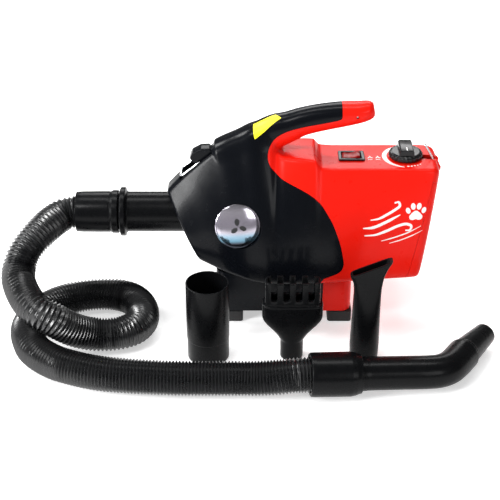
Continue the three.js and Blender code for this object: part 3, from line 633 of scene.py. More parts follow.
WAND_PATH = [wand_at(14), wand_at(40), wand_at(75), wand_at(110), wand_at(140), (157.5, -190.6, 22.1), (168.5, -184.5, 21.7), (178, -173.8, 21.3), (186.5, -161.6, 21.1), (191.5, -154.4, 21.0)]
wp, ws = spaced(catmull(WAND_PATH, 10), 1.2)
for _ in range(10):
    wp[1:-1] = 0.25 * wp[:-2] + 0.5 * wp[1:-1] + 0.25 * wp[2:]
fit = np.minimum(ws, ws[-1] - ws)
wr = 20.2 - 0.7 * np.clip(1 - fit / 1.3, 0, 1) ** 2
# a slightly raised collar just outside the cuff, then the plain tube
wr = wr - 0.45 * (1 / (1 + np.exp(-(ws - 52.5) / 0.8)))
wand = tube("wand_tube", wp, wr, 17.8, SATIN, 88, 34)
put(wand, "wand_assembly", "wand")
TIP_D = np.array([0.6, 0.797, -0.03])
TIP_D = TIP_D / np.linalg.norm(TIP_D)
TIP_O = np.array([191.5, -154.4, 21.0]) - TIP_D * 13
tip = lathe("wand_tip_cone", [(13.1, 5.2), (15.2, 5.2), (15.2, 13.5), (17.6, 13.7), (17.95, 14.2), (17.95, 16.8), (17.5, 17.8), (13.6, 65.5), (13.2, 66), (11.7, 66), (11.5, 65.6)], TIP_D, TIP_O, SATIN, 88, [0.2, 0.3, 0.3, 0.3, 0.4, 0.5, 0.6, 0.5, 0.3, 0.3, 0.3], 3)
put(tip, "wand_assembly", "wand_tip")

outlet = lathe("outlet_tube_turned", [(30.2, -119.1), (30.2, -121.8), (25.25, -122), (25.2, -216.4), (26.4, -217.9), (30.0, -219.2), (30.85, -220.4), (30.85, -224.8), (30.0, -225.9), (22.3, -227.5), (22.15, -263.4), (21.6, -264), (20.3, -264), (20.3, -119.1)], Xd, A, SATIN, 128, [0.3, 0.3, 0.3, 1.5, 1.0, 0.9, 1.0, 1.0, 0.9, 0.5, 0.5, 0.3, 0.3, 0.3], 4)
put(outlet, "dryer_body", "outlet_tube")
# ------------------------------------------------------------------ casing: one smooth skin, then cut into its mouldings
STATIONS = [
    (-149.5, -.52, 163, 17, 9, 50, 95, 84), (-128.4, -.42, 181.5, 17.5, 10, 57, 86, 78), (-108.6, -.32, 200, 18, 11, 63, 80.5, 73),
    (-91, -.24, 217, 18, 12, 67, 77, 69.5), (-79.4, -.18, 228, 18, 12, 69.5, 75, 67.5), (-66.3, -.12, 236, 18, 12, 71.5, 73.5, 66),
    (-53, -.06, 245, 18, 12, 73, 72.5, 65), (-40, 0, 237, 19, 12, 74, 72, 64.5), (-31, 0, 221, 23, 10, 74.3, 72, 64.3),
    (-22, 0, 216, 29, 8, 74.5, 72, 64), (0, 0, 216, 34, 7, 74, 72, 64), (14, 0, 215, 35, 6, 73, 72, 64), (22, 0, 206.5, 36, 5, 72.5, 72, 64),
    (40, 0, 205, 36, 5, 70.5, 72.5, 64), (70, 0, 205, 36, 5, 66.5, 73, 64), (110, .03, 205, 36, 5, 61.5, 73.5, 63.5), (138, .08, 205, 36, 4.5, 58, 73, 63),
    (148, .10, 204.6, 35.5, 5, 56, 73, 62.8), (153.5, .12, 203, 33.5, 6.5, 53, 74, 63.4), (156.2, .135, 199, 28.5, 9, 47.5, 77, 65.6),
]
HANDLE = [
    (85, 268.5, 8, 8), (79, 267.5, 11, 12.5), (67.6, 265, 12.5, 15), (44, 261.8, 15, 16), (18.8, 257.4, 16.2, 16),
    (-1.5, 252.3, 16.8, 16.3), (-17.4, 245.6, 18.6, 16.8), (-33, 239.8, 21, 17), (-60, 224.4, 22, 17), (-79, 213.4, 23, 17), (-97, 204, 24, 17),
]
SEAM = [
    (45.8, 290), (45.6, 263), (39.3, 260.5), (21.7, 256.6), (3.3, 253.1), (-15.1, 248.3), (-26, 243.6), (-33.5, 238), (-38.8, 231.5),
    (-42, 224.5), (-43, 217.4), (-41.5, 210.5), (-37, 203.3), (-27.3, 194.2), (-16, 189.2), (-5.2, 184.6), (5.5, 179.3), (14.9, 172.8),
    (23.5, 163.5), (30.1, 153.2), (36.3, 142.2), (41.4, 129.7), (45.8, 116.5), (48.8, 103), (50.3, 91), (47.9, 83.5), (42.8, 79.4), (34.5, 76.2), (26.5, 73.4), (22, 66), (22, 40),
]
HINGE = (163.5, 196.0)
DOOR_X, DOOR_K, WALL, POWER = 144.0, 0.21, 3.0, 1.75
KNOB_X, SWITCH_X, PANEL_Z = 126.0, 59.7, 205.0
SIDES = 30


def half_section(st):
    x, k, zt, wt, rt, wm, zl, zb = st
    a = 0.4
    for _ in range(14):
        a = math.atan(POWER * (wm - (wt - rt + rt * math.cos(a))) / (zt - rt + rt * math.sin(a) - zl))
    ye, ze = wt - rt + rt * math.cos(a), zt - rt + rt * math.sin(a)
    wb = wm - 7
    out = [(0.0, zb), (wb * 0.35, zb), (wb * 0.7, zb)]
    for i in range(7):
        b = i / 6 * math.pi / 2
        out.append((wb + (wm - wb) * math.sin(b), zl - (zl - zb) * math.cos(b)))
    for i in range(1, SIDES + 1):
        t = i / SIDES
        out.append((ye + (wm - ye) * (1 - t ** POWER), zl + t * (ze - zl)))
    for i in range(1, 9):
        b = a + (math.pi / 2 - a) * i / 8
        out.append((wt - rt + rt * math.cos(b), zt - rt + rt * math.sin(b)))
    out += [((wt - rt) * 0.66, zt), ((wt - rt) * 0.33, zt), (0.0, zt)]
    return [(x + k * (z - 130), y, z) for y, z in out]


def casing_rings():
    rings = []
    for st in monotone(STATIONS, 8):
        h = half_section(st)
        rings.append(np.array([*h, *[(x, -y, z) for x, y, z in h[-2:0:-1]]]))
    return rings


def handle_rings():
    P = np.array(HANDLE, float)
    s = np.concatenate([[0], np.cumsum(np.hypot(np.diff(P[:, 0]), np.diff(P[:, 1])))])
    Q = monotone(np.column_stack([s, P]), 8)[:, 1:]
    D = np.gradient(Q[:, :2], axis=0)
    D /= np.linalg.norm(D, axis=1)[:, None]
    rings = []
    for (x, z, r, w), (dx, dz) in zip(Q, D):
        nx, nz = dz, -dx
        t = np.linspace(0, 2 * math.pi, 64, endpoint=False)
        c, q = np.cos(t), np.sin(t)
        e = 2 / 2.35
        cc, qq = np.sign(c) * np.abs(c) ** e, np.sign(q) * np.abs(q) ** e
        rings.append(np.column_stack([x + nx * r * qq, w * cc, z + nz * r * qq]))
    return rings


H = 1.15
LO = np.array([-190.0, -84.0, 52.0])
DIM = tuple(int(math.ceil(v / H)) for v in (372.0, 168.0, 238.0))
BAND = 12.0


def level_set(points, quads=None, tris=None):
    kw = {}
    if quads is not None and len(quads):
        kw["quads"] = np.asarray(quads, np.uint32)
    if tris is not None and len(tris):
        kw["triangles"] = np.asarray(tris, np.uint32)
    g = vdb.FloatGrid.createLevelSetFromPolygons(np.asarray((points - LO) / H, np.float32), transform=vdb.createLinearTransform(1.0), halfWidth=float(BAND / H), **kw)
    a = np.full(DIM, BAND / H, np.float32)
    g.copyToArray(a, ijk=(0, 0, 0))
    return a * H


def surface(a, iso):
    g = vdb.FloatGrid(float(BAND / H))
    g.copyFromArray((a / H).astype(np.float32), ijk=(0, 0, 0))
    p, t, q = g.convertToPolygons(isovalue=float(iso / H), adaptivity=0.0)
    return p * H + LO, t, q


def ring_solid(rings):
    V, F = rings_mesh(rings)
    quads = [f for f in F if len(f) == 4]
    tris = []
    for f in F:
        if len(f) > 4:
            c = len(V)
            V = np.vstack([V, V[list(f)].mean(0)])
            tris += [(f[i], f[(i + 1) % len(f)], c) for i in range(len(f))]
    ob_v = V
    # faces out
    q = np.array(quads)
    a, b, c, d = (ob_v[q[:, i]] for i in range(4))
    vol = (np.einsum("ij,ij->i", a, np.cross(b, c)) + np.einsum("ij,ij->i", a, np.cross(c, d))).sum()
    tr = np.array(tris)
    if len(tr):
        vol += np.einsum("ij,ij->i", ob_v[tr[:, 0]], np.cross(ob_v[tr[:, 1]], ob_v[tr[:, 2]])).sum()
    if vol < 0:
        q = q[:, ::-1]
        tr = tr[:, ::-1]
    return ob_v, q, tr


def smooth_union(a, b, k):
    h = np.clip(0.5 + 0.5 * (b - a) / k, 0, 1)
    return b * (1 - h) + a * h - k * h * (1 - h)


def relax(P, quads, tris, rounds=3, amount=0.5):
    e = [quads[:, [0, 1]], quads[:, [1, 2]], quads[:, [2, 3]], quads[:, [3, 0]]]
    if tris is not None and len(tris):
        e += [tris[:, [0, 1]], tris[:, [1, 2]], tris[:, [2, 0]]]
    e = np.unique(np.sort(np.concatenate(e).astype(np.int64), axis=1), axis=0)
    n = len(P)
    i, j = e[:, 0], e[:, 1]
    deg = np.bincount(i, minlength=n) + np.bincount(j, minlength=n)
    for step in range(rounds):
        for amt in (amount, -amount * 1.04):
            s = np.column_stack([np.bincount(i, P[j, k], n) + np.bincount(j, P[i, k], n) for k in range(3)]) / deg[:, None]
            P = P + amt * (s - P)
    return P


def skins():
    V, Q, T = ring_solid(casing_rings())
    body = level_set(V, Q, T)
    V, Q, T = ring_solid(handle_rings())
    grip = level_set(V, Q, T)
    whole = smooth_union(body, grip, 9.0)
    # rounding the outer edges: shrink, then grow again
    R = 2.4
    p, t, q = surface(whole, -R)
    small = level_set(p, q, t)
    outer = surface(small, R)
    inner = surface(small, -(WALL - R))
    return outer, inner, surface(small, -(8.2 - R))


(op, ot, oq), (ip, it, iq), filter_skin = skins()
op = relax(op, oq, ot, 5)
lo_z = op[:, 2].min()
print("SKIN", len(op), op.min(0).round(2), op.max(0).round(2))


def skin_object(name, p, q, t):
    me = mesh_from_arrays(name, row(p), q.astype(np.int64), t.astype(np.int64) if len(t) else None)
    ob = bpy.data.objects.new(name, me)
    scene.collection.objects.link(ob)
    return outward(ob)


outer = skin_object("skin_outer", op, oq, ot)
inner = skin_object("skin_inner", ip, iq, it)
outer_bvh = BVHTree.FromObject(outer, bpy.context.evaluated_depsgraph_get())
skin_copy = copy_of(outer, "skin_for_parts")


def lean(x, z):
    return x + DOOR_K * (z - 130)


slope = np.array([20.0, 18.5])
slope = slope / np.linalg.norm(slope)


def along(s, d):
    return (-150 + slope[0] * s - slope[1] * d, 181.5 + slope[1] * s + slope[0] * d)


BADGE_N = np.array([0.10, -0.955, 0.28])
BADGE_N = BADGE_N / np.linalg.norm(BADGE_N)
BADGE_P = np.array([-78.5, -57.6, 139]) - BADGE_N * 2.2
SCREWS = [(-112, 86, 53), (-97, 200, 25), (-66, 226, 24), (15, 192, 43), (112, 92, 56), (64, 264, 14.6)]

# what stays solid inside: ribs round the motor, screw bosses, the strap recess and the badge seat
keepers = []
for x0, x1, r in ((2, 6, 50.9), (66, 70, 50.9), (-15, -11, 45.9)):
    k = slab("rib", x0, x1, -100, 100, 55, 181)
    boolean(k, "DIFFERENCE", rod("c", r, -200, 200, Xd, A, seg=96))
    keepers.append(k)
for x, z, w in SCREWS:
    keepers.append(rod("boss", 4 if z > 255 else 5, -w - 12, w + 12, Yd, (x, 0, z), seg=32))
keepers.append(prism("lining", [along(-4.5, -9), along(-4.5, 8), along(56.5, 8), along(56.5, -13), along(24, -15)], -16, 16))
keepers.append(rod("seat", 31, -4.6, 1, BADGE_N, BADGE_P, seg=64))
boolean(inner, "DIFFERENCE", *keepers)
shell = outer
boolean(shell, "DIFFERENCE", inner)
cutters = [
    rod("c", 25.8, -220, -100, Xd, A, seg=128),
    rod("c", 4.4, 190, 220, Zd, (KNOB_X, 0, 0)),
    slab("c", SWITCH_X - 14.2, SWITCH_X + 14.2, -11.1, 11.1, 195, 215, None, 1.0),
    rod("c", 28.3, -1.9, 20, BADGE_N, BADGE_P, seg=96),
    prism("c", [along(-1, -6), along(-1, 30), along(53, 30), along(53, -10), along(24, -12)], -13, 13, None, 1.6, 4),
    rod("c", 7.5, 40, 90, Yd, (122, 0, 118)),
]
for x, z, w in SCREWS:
    cutters.append(rod("c", 1.8, -16, w, Yd, (x, 0, z), seg=24))
    cutters.append(rod("c", 3.8, w - 6.3, 120, Yd, (x, 0, z), seg=40))
boolean(shell, "DIFFERENCE", *cutters)

# seam curve, made smooth
sm = np.array(SEAM[1:-2], float)
sm3 = np.column_stack([sm, np.zeros(len(sm))])
seam_curve = catmull(sm3[1:], 6)[:, :2]
corner = fillet([(45.7, 292), (45.6, 262.6), tuple(seam_curve[0]), tuple(seam_curve[3])], [0, 3.5, 0, 0], False, 6)
seam_line = np.vstack([np.array(corner[:-2]), seam_curve, [(22, 66), (22, 40)]])


def offset_line(L, d):
    T = np.gradient(L, axis=0)
    T /= np.linalg.norm(T, axis=1)[:, None]
    return L + np.column_stack([-T[:, 1], T[:, 0]]) * d


front_region = [(-300, 40), (-300, 292)] + [tuple(p) for p in seam_line]
after = offset_line(seam_line, 0.4)
not_front = [(-300, 30), (-300, 302), (after[0][0], 302)] + [tuple(p) for p in after] + [(after[-1][0], 30)]
before_door = [(-300, 30), (-300, 300), (lean(DOOR_X - .2, 300), 300), (lean(DOOR_X - .2, 30), 30)]
after_door = [(lean(DOOR_X + .2, 30), 30), (lean(DOOR_X + .2, 300), 300), (300, 300), (300, 30)]


def side_box(side):
    y = sorted([side * 0.12, side * 200])
    return slab("side", -400, 400, y[0], y[1], -10, 400)


# hinge edge: the housing's nose and the door's hollow
nose = copy_of(shell, "nose")
boolean(nose, "INTERSECT", rod("c", 8.6, -70, 70, Yd, (HINGE[0], 0, HINGE[1]), seg=96))


def reach(deg, r):
    return (HINGE[0] + r * math.cos(math.radians(deg)), HINGE[1] + r * math.sin(math.radians(deg)))


lug_slot = slab("lug_slot", 120, 200, -5.8, 5.8, 180, 210)
boolean(lug_slot, "INTERSECT", prism("c", after_door, -60, 60))
boolean(lug_slot, "UNION", prism("c", [reach(60, 3), reach(60, 20), reach(138, 20), reach(150, 5)], -5.8, 5.8))
boolean(nose, "DIFFERENCE", lug_slot, keep=True)

rear = copy_of(shell, "rear")
boolean(rear, "DIFFERENCE", prism("c", not_front, -200, 200))
boolean(rear, "INTERSECT", prism("c", before_door, -200, 200))
boolean(rear, "DIFFERENCE", lug_slot)
boolean(rear, "UNION", nose)


def lug(side):
    ball = lathe("lug", [(0, -5.2), (2.0, -4.95), (3.7, -3.7), (4.8, -2.0), (5.2, 0), (4.8, 2.0), (3.7, 3.7), (2.0, 4.95), (0, 5.2)], Yd, (HINGE[0], side * 11, HINGE[1]), None, 48, 0)
    web = prism("web", [(150, 196), (151, 203.3), (160, 201.5), (165, 198.5), (162, 193), (156.5, 193)], 8.4 if side > 0 else -13.6, 13.6 if side > 0 else 8.4 if side > 0 else -8.4, None, 1.2, 3)
    return [ball, web]


boolean(rear, "UNION", *lug(-1), *lug(1))
boolean(rear, "DIFFERENCE", rod("c", 1.8, -15.4, 15.4, Yd, (HINGE[0], 0, HINGE[1]), seg=32))
front = copy_of(shell, "front")
boolean(front, "INTERSECT", prism("c", front_region, -200, 200))
door = shell
boolean(door, "INTERSECT", prism("c", after_door, -200, 200))
boolean(door, "DIFFERENCE", rod("c", 9.0, -70, 70, Yd, (HINGE[0], 0, HINGE[1]), seg=96))

wedge = prism("wedge", [reach(-160, 3.6), reach(-106, 14), reach(-70, 14), reach(-20, 3.6)], -3.4, 3.4)
boolean(wedge, "INTERSECT", skin_copy, keep=True)
boolean(door, "UNION", wedge, rod("c", 4.4, -3.4, 3.4, Yd, (HINGE[0], 0, HINGE[1]), seg=48))
slots = []
for i, z in enumerate((104, 116, 128, 140, 152, 164)):
    w = 22 - abs(i - 2.5)
    slots.append(prism("slot", [(-w, z - 2), (w, z - 2), (w, z + 2), (-w, z + 2)], 140, 180, None, 1.95, 4, "YZ"))
boolean(door, "DIFFERENCE", rod("c", 1.8, -15.4, 15.4, Yd, (HINGE[0], 0, HINGE[1]), seg=32), *slots)

made = []
for base, mat, slot, label, node in ((front, BLACK, "black_casing", "front_casing", "front_shell"), (rear, RED, "red_casing", "rear_casing", "rear_housing")):
    for side, tag in ((-1, "left"), (1, "right")):
        piece = copy_of(base, f"{label}_{tag}")
        boolean(piece, "INTERSECT", side_box(side))
        piece.data.materials.clear()
        piece.data.materials.append(mat)
        smooth(piece, 30)
        put(piece, "dryer_body", f"{node}_{tag}")
        made.append(piece)
    bpy.data.objects.remove(base)
door.name = "rear_filter_door"
door.data.materials.clear()
door.data.materials.append(RED)
smooth(door, 30)
put(door, "door", "filter_door")
for o in [*made, door]:
    print("PIECE", o.name, len(o.data.vertices), len(o.data.polygons))
# ------------------------------------------------------------------ loose nozzles
NY = -128.4


def oval_loft(name, stations, sub=5, n=120, material_=None):
    """Stations of (z, centre x, half-length, half-width, power, lean): squared ovals joined smoothly."""
    Q = monotone(np.array(stations, float), sub)
    t = np.linspace(0, 2 * math.pi, n, endpoint=False)
    c, s = np.cos(t), np.sin(t)
    rings = []
    for z, cx, a, b, p, k in Q:
        x = a * np.sign(c) * np.abs(c) ** (2 / p)
        y = b * np.sign(s) * np.abs(s) ** (2 / p)
        rings.append(np.column_stack([cx + x, NY + y, z + k * x]))
    V, F = rings_mesh(rings)
    return outward(new_object(name, V, F, material_, 34))


round_nozzle = lathe("round_nozzle_turned", [(22.7, 0.05), (24.4, 0.05), (25.25, 1.2), (25.3, 28.9), (25.75, 29.5), (25.8, 104.85), (23.8, 104.85), (23.7, 32), (22.7, 30.5)], Zd, (-114.5, NY, 0), SATIN, 128, [0.3, 0.8, 0.9, 0.3, 0.4, 0.7, 0.5, 1, 1], 4)
put(round_nozzle, "loose_round_nozzle", "round_nozzle")

CX = -13.5
comb = oval_loft("comb_nozzle_body", [(0.05, CX, 13.3, 13.3, 2, 0), (0.9, CX, 13.9, 13.9, 2, 0), (25, CX, 13.9, 13.9, 2, 0), (28.5, CX, 15.6, 13.9, 2.15, 0), (36, CX, 19.9, 13.8, 2.6, 0), (44, CX, 26.2, 13.8, 3.3, 0), (51, CX, 31.8, 13.8, 4.0, 0), (58, CX, 35.6, 13.8, 4.6, 0), (63, CX, 36.3, 13.9, 4.8, 0), (75.6, CX, 36.3, 13.9, 4.8, 0), (77.2, CX, 36.0, 13.6, 4.8, 0), (78.2, CX, 35.0, 12.6, 4.8, 0), (78.6, CX, 33.0, 11.5, 5, 0), (80, CX, 32.8, 11.3, 5.2, 0), (107.4, CX, 32.6, 11.0, 5.2, 0), (108.2, CX, 32.3, 10.7, 5.2, 0), (108.5, CX, 31.7, 10.2, 5.2, 0)])
comb_bore = oval_loft("c", [(-3, CX, 11.9, 11.9, 2, 0), (27, CX, 11.9, 11.9, 2, 0), (31, CX, 13.3, 11.6, 2.2, 0), (38, CX, 17.4, 11.5, 2.6, 0), (53, CX, 28.6, 11, 4.0, 0), (60, CX, 32, 11, 4.4, 0), (73, CX, 31.4, 8.2, 4.8, 0), (79, CX, 30.4, 6.8, 5, 0), (114, CX, 30, 6.2, 5, 0)], 3)
boolean(comb, "DIFFERENCE", comb_bore)
for k in (-1.5, -.5, .5, 1.5):
    c = prism("c", [(CX + k * 14.7 - 3.8, 84), (CX + k * 14.7 + 3.8, 84), (CX + k * 14.7 + 3.8, 130), (CX + k * 14.7 - 3.8, 130)], NY - 22, NY + 22, None, 3.2, 6)
    boolean(comb, "DIFFERENCE", c)
comb.data.materials.clear()
comb.data.materials.append(SATIN)
bevel(comb, 0.35, 2, 50)
put(comb, "loose_comb_nozzle", "comb_nozzle")

flat = oval_loft("flat_nozzle_body", [(0.05, 74.4, 16.5, 16.5, 2, 0), (0.9, 74.4, 17.1, 17.1, 2, 0), (18, 74.4, 17.7, 17.7, 2, 0), (40, 74.5, 17.1, 16.3, 2.2, 0), (70, 74.7, 16.5, 12.9, 2.6, .05), (92, 75, 16.3, 10.3, 3.2, .18), (108, 75.6, 17.7, 8.5, 4.2, .32), (118, 76.8, 20.9, 7.7, 4.8, .40), (125.4, 78, 24.2, 7.3, 5, .43), (126.2, 78, 24.1, 7.1, 5, .43)], 6)
flat_bore = oval_loft("c", [(-3, 74.4, 15.5, 15.5, 2, 0), (18, 74.4, 15.7, 15.7, 2, 0), (40, 74.5, 15.1, 14.3, 2.2, 0), (70, 74.7, 14.5, 10.9, 2.6, .05), (92, 75, 14.3, 8.3, 3.2, .18), (108, 75.6, 15.7, 6.5, 4.2, .32), (118, 76.8, 18.9, 5.7, 4.8, .40), (131, 78.1, 22.8, 5.3, 5, .43)], 5)
boolean(flat, "DIFFERENCE", flat_bore)
flat.data.materials.clear()
flat.data.materials.append(SATIN)
bevel(flat, 0.35, 2, 50)
put(flat, "loose_flat_nozzle", "flat_nozzle")

# ------------------------------------------------------------------ plinth and feet
def round_rect(x0, x1, y0, y1, r, n=8):
    out = []
    for cx, cy, a0 in ((x1 - r, y0 + r, -90), (x1 - r, y1 - r, 0), (x0 + r, y1 - r, 90), (x0 + r, y0 + r, 180)):
        for i in range(n + 1):
            a = math.radians(a0 + 90 * i / n)
            out.append((cx + r * math.cos(a), cy + r * math.sin(a)))
    return out


def block(name, x0, x1, y0, y1, z0, z1, r, edge=1.0, top_edge=None, material_=None, n=8):
    """Upright block with round corners and rounded bottom and top edges."""
    top_edge = edge if top_edge is None else top_edge
    rings = []
    for i in range(5):
        a = i / 4 * math.pi / 2
        d = edge * (1 - math.sin(a))
        rings.append((z0 + edge * (1 - math.cos(a)), d))
    for i in range(5):
        a = i / 4 * math.pi / 2
        d = top_edge * (1 - math.cos(a))
        rings.append((z1 - top_edge * (1 - math.sin(a)), d))
    R = [np.array([(x, y, z) for x, y in round_rect(x0 + d, x1 - d, y0 + d, y1 - d, max(r - d, 0.3), n)]) for z, d in rings]
    V, F = rings_mesh(R)
    return outward(new_object(name, V, F, material_, 34))


under = prism("under", [(-140, 10), (-140, 78), (-100, 74.4), (-60, 66.4), (-30, 64.4), (80, 64.4), (80, 10)], -100, 100)
base = block("plinth", -106, 63, -58, 58, 15.7, 96, 12, 2.0, 0.01, None, 10)
hollow = block("c", -103, 60, -55, 55, 18.7, 110, 9, 1.0, 0.01)
boolean(base, "DIFFERENCE", hollow)
boolean(base, "DIFFERENCE", skin_copy, keep=True)
boolean(base, "INTERSECT", under)
FEET = [(-88, -46), (-88, 46), (49, -46), (49, 46)]
for x, y in FEET:
    boolean(base, "DIFFERENCE", rod("c", 2.5, 10, 30, Zd, (x, y, 0), seg=24))
for label, x0, x1, mat, slot, node in (("plinth_front_moulding", -200, 26.85, BLACK, "black_plastic", "plinth_front"), ("plinth_rear_moulding", 27.15, 200, RED, "red_casing", "plinth_rear")):
    p = copy_of(base, label)
    boolean(p, "INTERSECT", slab("c", x0, x1, -100, 100, 0, 200))
    p.data.materials.clear()
    p.data.materials.append(mat)
    smooth(p, 30)
    put(p, "dryer_body", node)
bpy.data.objects.remove(base)


def screw(name, pos, axis, shaft_r, head_r, low, head_low, top, body, node, head_round=0.8):
    """Cross-recessed screw: shaft from low to head_low, head from there to top along axis."""
    s = lathe(name, [(0, low), (shaft_r * 0.6, low), (shaft_r, low + 2), (shaft_r, head_low), (head_r, head_low), (head_r, top - head_round), (head_r * 0.72, top), (0, top)], axis, pos, STEEL, 40, [0, 0, 0, 0, 0.2, 0.8, 0.5, 0], 3)
    X, Y, Z_ = basis(axis)
    for u, v in ((X, Y), (Y, X)):
        P = np.array(pos, float)
        c = []
        for h in (top - 1.3, top + 2):
            w, l = (0.28, head_r * 0.45) if h < top else (0.5, head_r * 0.62)
            c += [P + Z_ * h + u * (sx * l) + v * (sy * w) for sx, sy in ((-1, -1), (1, -1), (1, 1), (-1, 1))]
        cross = outward(new_object("c", np.array(c), [(0, 1, 2, 3), (4, 5, 6, 7), (0, 1, 5, 4), (1, 2, 6, 5), (2, 3, 7, 6), (3, 0, 4, 7)]))
        boolean(s, "DIFFERENCE", cross)
    smooth(s, 34)
    return put(s, body, node)


for (x, y), tag in zip(FEET, ("front_left", "front_right", "rear_left", "rear_right")):
    f = block("rubber_foot_" + tag, x - 15.2, x + 15.2, y - 12, y + 12, 0.0, 15.4, 3.4, 1.4, 0.6, None, 6)
    boolean(f, "DIFFERENCE", rod("c", 4.7, -1, 8.3, Zd, (x, y, 0), seg=40), rod("c", 2.5, 0, 30, Zd, (x, y, 0), seg=32))
    f.data.materials.clear()
    f.data.materials.append(RUBBER)
    smooth(f, 30)
    put(f, "dryer_body", "foot_" + tag)
    # driven up from below, so its head looks down
    screw("foot_fixing_" + tag, (x, y, 0), (0, 0, -1), 2.0, 4.2, -25, -8, -5.3, "dryer_body", "foot_screw_" + tag)

for i, (x, z, w) in enumerate(SCREWS):
    screw(f"casing_fixing_{i + 1}", (x, 0, z), Yd, 1.4, 3.2, -13, w - 6, w - 3.3, "dryer_body", f"casing_screw_{i + 1}", 0.9)

# ------------------------------------------------------------------ controls
bezel = block("switch_bezel", SWITCH_X - 16, SWITCH_X + 16, -12.5, 12.5, PANEL_Z + 0.3, PANEL_Z + 2.4, 1.8, 0.2, 0.9, None, 6)
boolean(bezel, "UNION", slab("c", SWITCH_X - 13.9, SWITCH_X + 13.9, -10.8, 10.8, 186, PANEL_Z + 1, None, 0.8))
boolean(bezel, "DIFFERENCE", slab("c", SWITCH_X - 12.2, SWITCH_X + 12.2, -7.8, 7.8, 197.5, 220, None, 0.8))
bezel.data.materials.clear()
bezel.data.materials.append(KNOB)
bevel(bezel, 0.3, 2, 50)
put(bezel, "dryer_body", "switch_body")
tilt, RZ = math.radians(9), 204.2
ROCK = [(-11.4, 3.4), (-8, 4.4), (-2, 2.9), (2, 2.9), (8, 4.4), (11.4, 3.4), (10.2, -.6), (3, -3.6), (-3, -3.6), (-10.2, -.6)]


def rock(x, z):
    return (SWITCH_X + x * math.cos(tilt) - z * math.sin(tilt), RZ + x * math.sin(tilt) + z * math.cos(tilt))


rocker = prism("power_rocker_key", [rock(x, z) for x, z in ROCK], -7.35, 7.35, ROCKER, 1.1, 5)
bevel(rocker, 0.45, 3, 50)
put(rocker, "rocker", "power_rocker")
# on and off marks, sunk ink on the two ends of the key
def rocker_mark(name, pts):
    V, F = [], []
    for x, y in pts:
        z = 3.62 + (abs(x) - 9.7) * (-0.29) if abs(x) > 8 else 4.3
        a = rock(x, z + 0.06)
        V.append((a[0], y, a[1]))
    return V


mark_on = [(-9.9, -2.4), (-9.1, -2.4), (-9.1, 2.4), (-9.9, 2.4)]
V = rocker_mark("on", mark_on)
V2 = [(x, y, z - 0.25) for x, y, z in V]
on_mark = outward(new_object("rocker_mark_line", np.array(V + V2), [(0, 1, 2, 3), (4, 5, 6, 7), (0, 1, 5, 4), (1, 2, 6, 5), (2, 3, 7, 6), (3, 0, 4, 7)], WHITE_INK))
put(on_mark, "rocker")
ringp = []
for rr in (2.1, 1.5):
    for i in range(28):
        a = i / 28 * 2 * math.pi
        ringp.append((9.4 + rr * 0.62 * math.cos(a), rr * math.sin(a)))
V = rocker_mark("off", ringp)
V2 = [(x, y, z - 0.25) for x, y, z in V]
F = []
for i in range(28):
    j = (i + 1) % 28
    F += [(i, j, 28 + j, 28 + i), (56 + i, 56 + j, 84 + j, 84 + i), (i, j, 56 + j, 56 + i), (28 + i, 28 + j, 84 + j, 84 + i)]
off_mark = outward(new_object("rocker_mark_ring", np.array(V + V2), F, WHITE_INK))
put(off_mark, "rocker")


def knob_mesh():
    prof = fillet([(3.55, 206.05), (19.8, 206.05), (20.9, 207.4), (20.4, 211.1), (19.2, 212.3), (16.6, 213.3), (3.55, 213.6)], [0, .5, .6, .9, .9, 1.5, 0], False, 4)
    seg = 216
    t = np.linspace(0, 2 * math.pi, seg, endpoint=False)
    rings = []
    for r, z in prof:
        depth = 0.75 * np.clip((r - 18.2) / 1.6, 0, 1)
        rr = r - depth * (0.5 - 0.5 * np.cos(t * 24)) ** 2.0
        rings.append(np.column_stack([KNOB_X + rr * np.cos(t), rr * np.sin(t), np.full(seg, z)]))
    V, F = rings_mesh(rings, closed=True)
    return outward(new_object("speed_knob_moulding", V, F, KNOB, 34))


knob = knob_mesh()
bar = prism("bar", [(KNOB_X - 9.6, 210.6), (KNOB_X - 8.4, 219.0), (KNOB_X - 6.9, 220.5), (KNOB_X + 6.9, 220.5), (KNOB_X + 8.4, 219.0), (KNOB_X + 9.6, 210.6)], -15.7, 15.7, None, 1.0, 3)
bevel(bar, 0.9, 3, 50)
boolean(bar, "INTERSECT", rod("c", 18.9, 200, 240, Zd, (KNOB_X, 0, 0), seg=128))
boolean(bar, "DIFFERENCE", rod("c", 3.5, 200, 216, Zd, (KNOB_X, 0, 0), seg=32))
boolean(knob, "UNION", bar)
smooth(knob, 30)
put(knob, "knob", "speed_knob")
line = block("knob_pointer", KNOB_X - 0.7, KNOB_X + 0.7, -14.2, -5.5, 220.2, 220.58, 0.5, 0.05, 0.08, WHITE_INK, 3)
put(line, "knob")
knob_shaft = lathe("knob_spindle", [(0, 189), (3, 189), (3, 215.5), (0, 215.5)], Zd, (KNOB_X, 0, 0), STEEL, 40, 0.4)
put(knob_shaft, "knob", "knob_shaft")

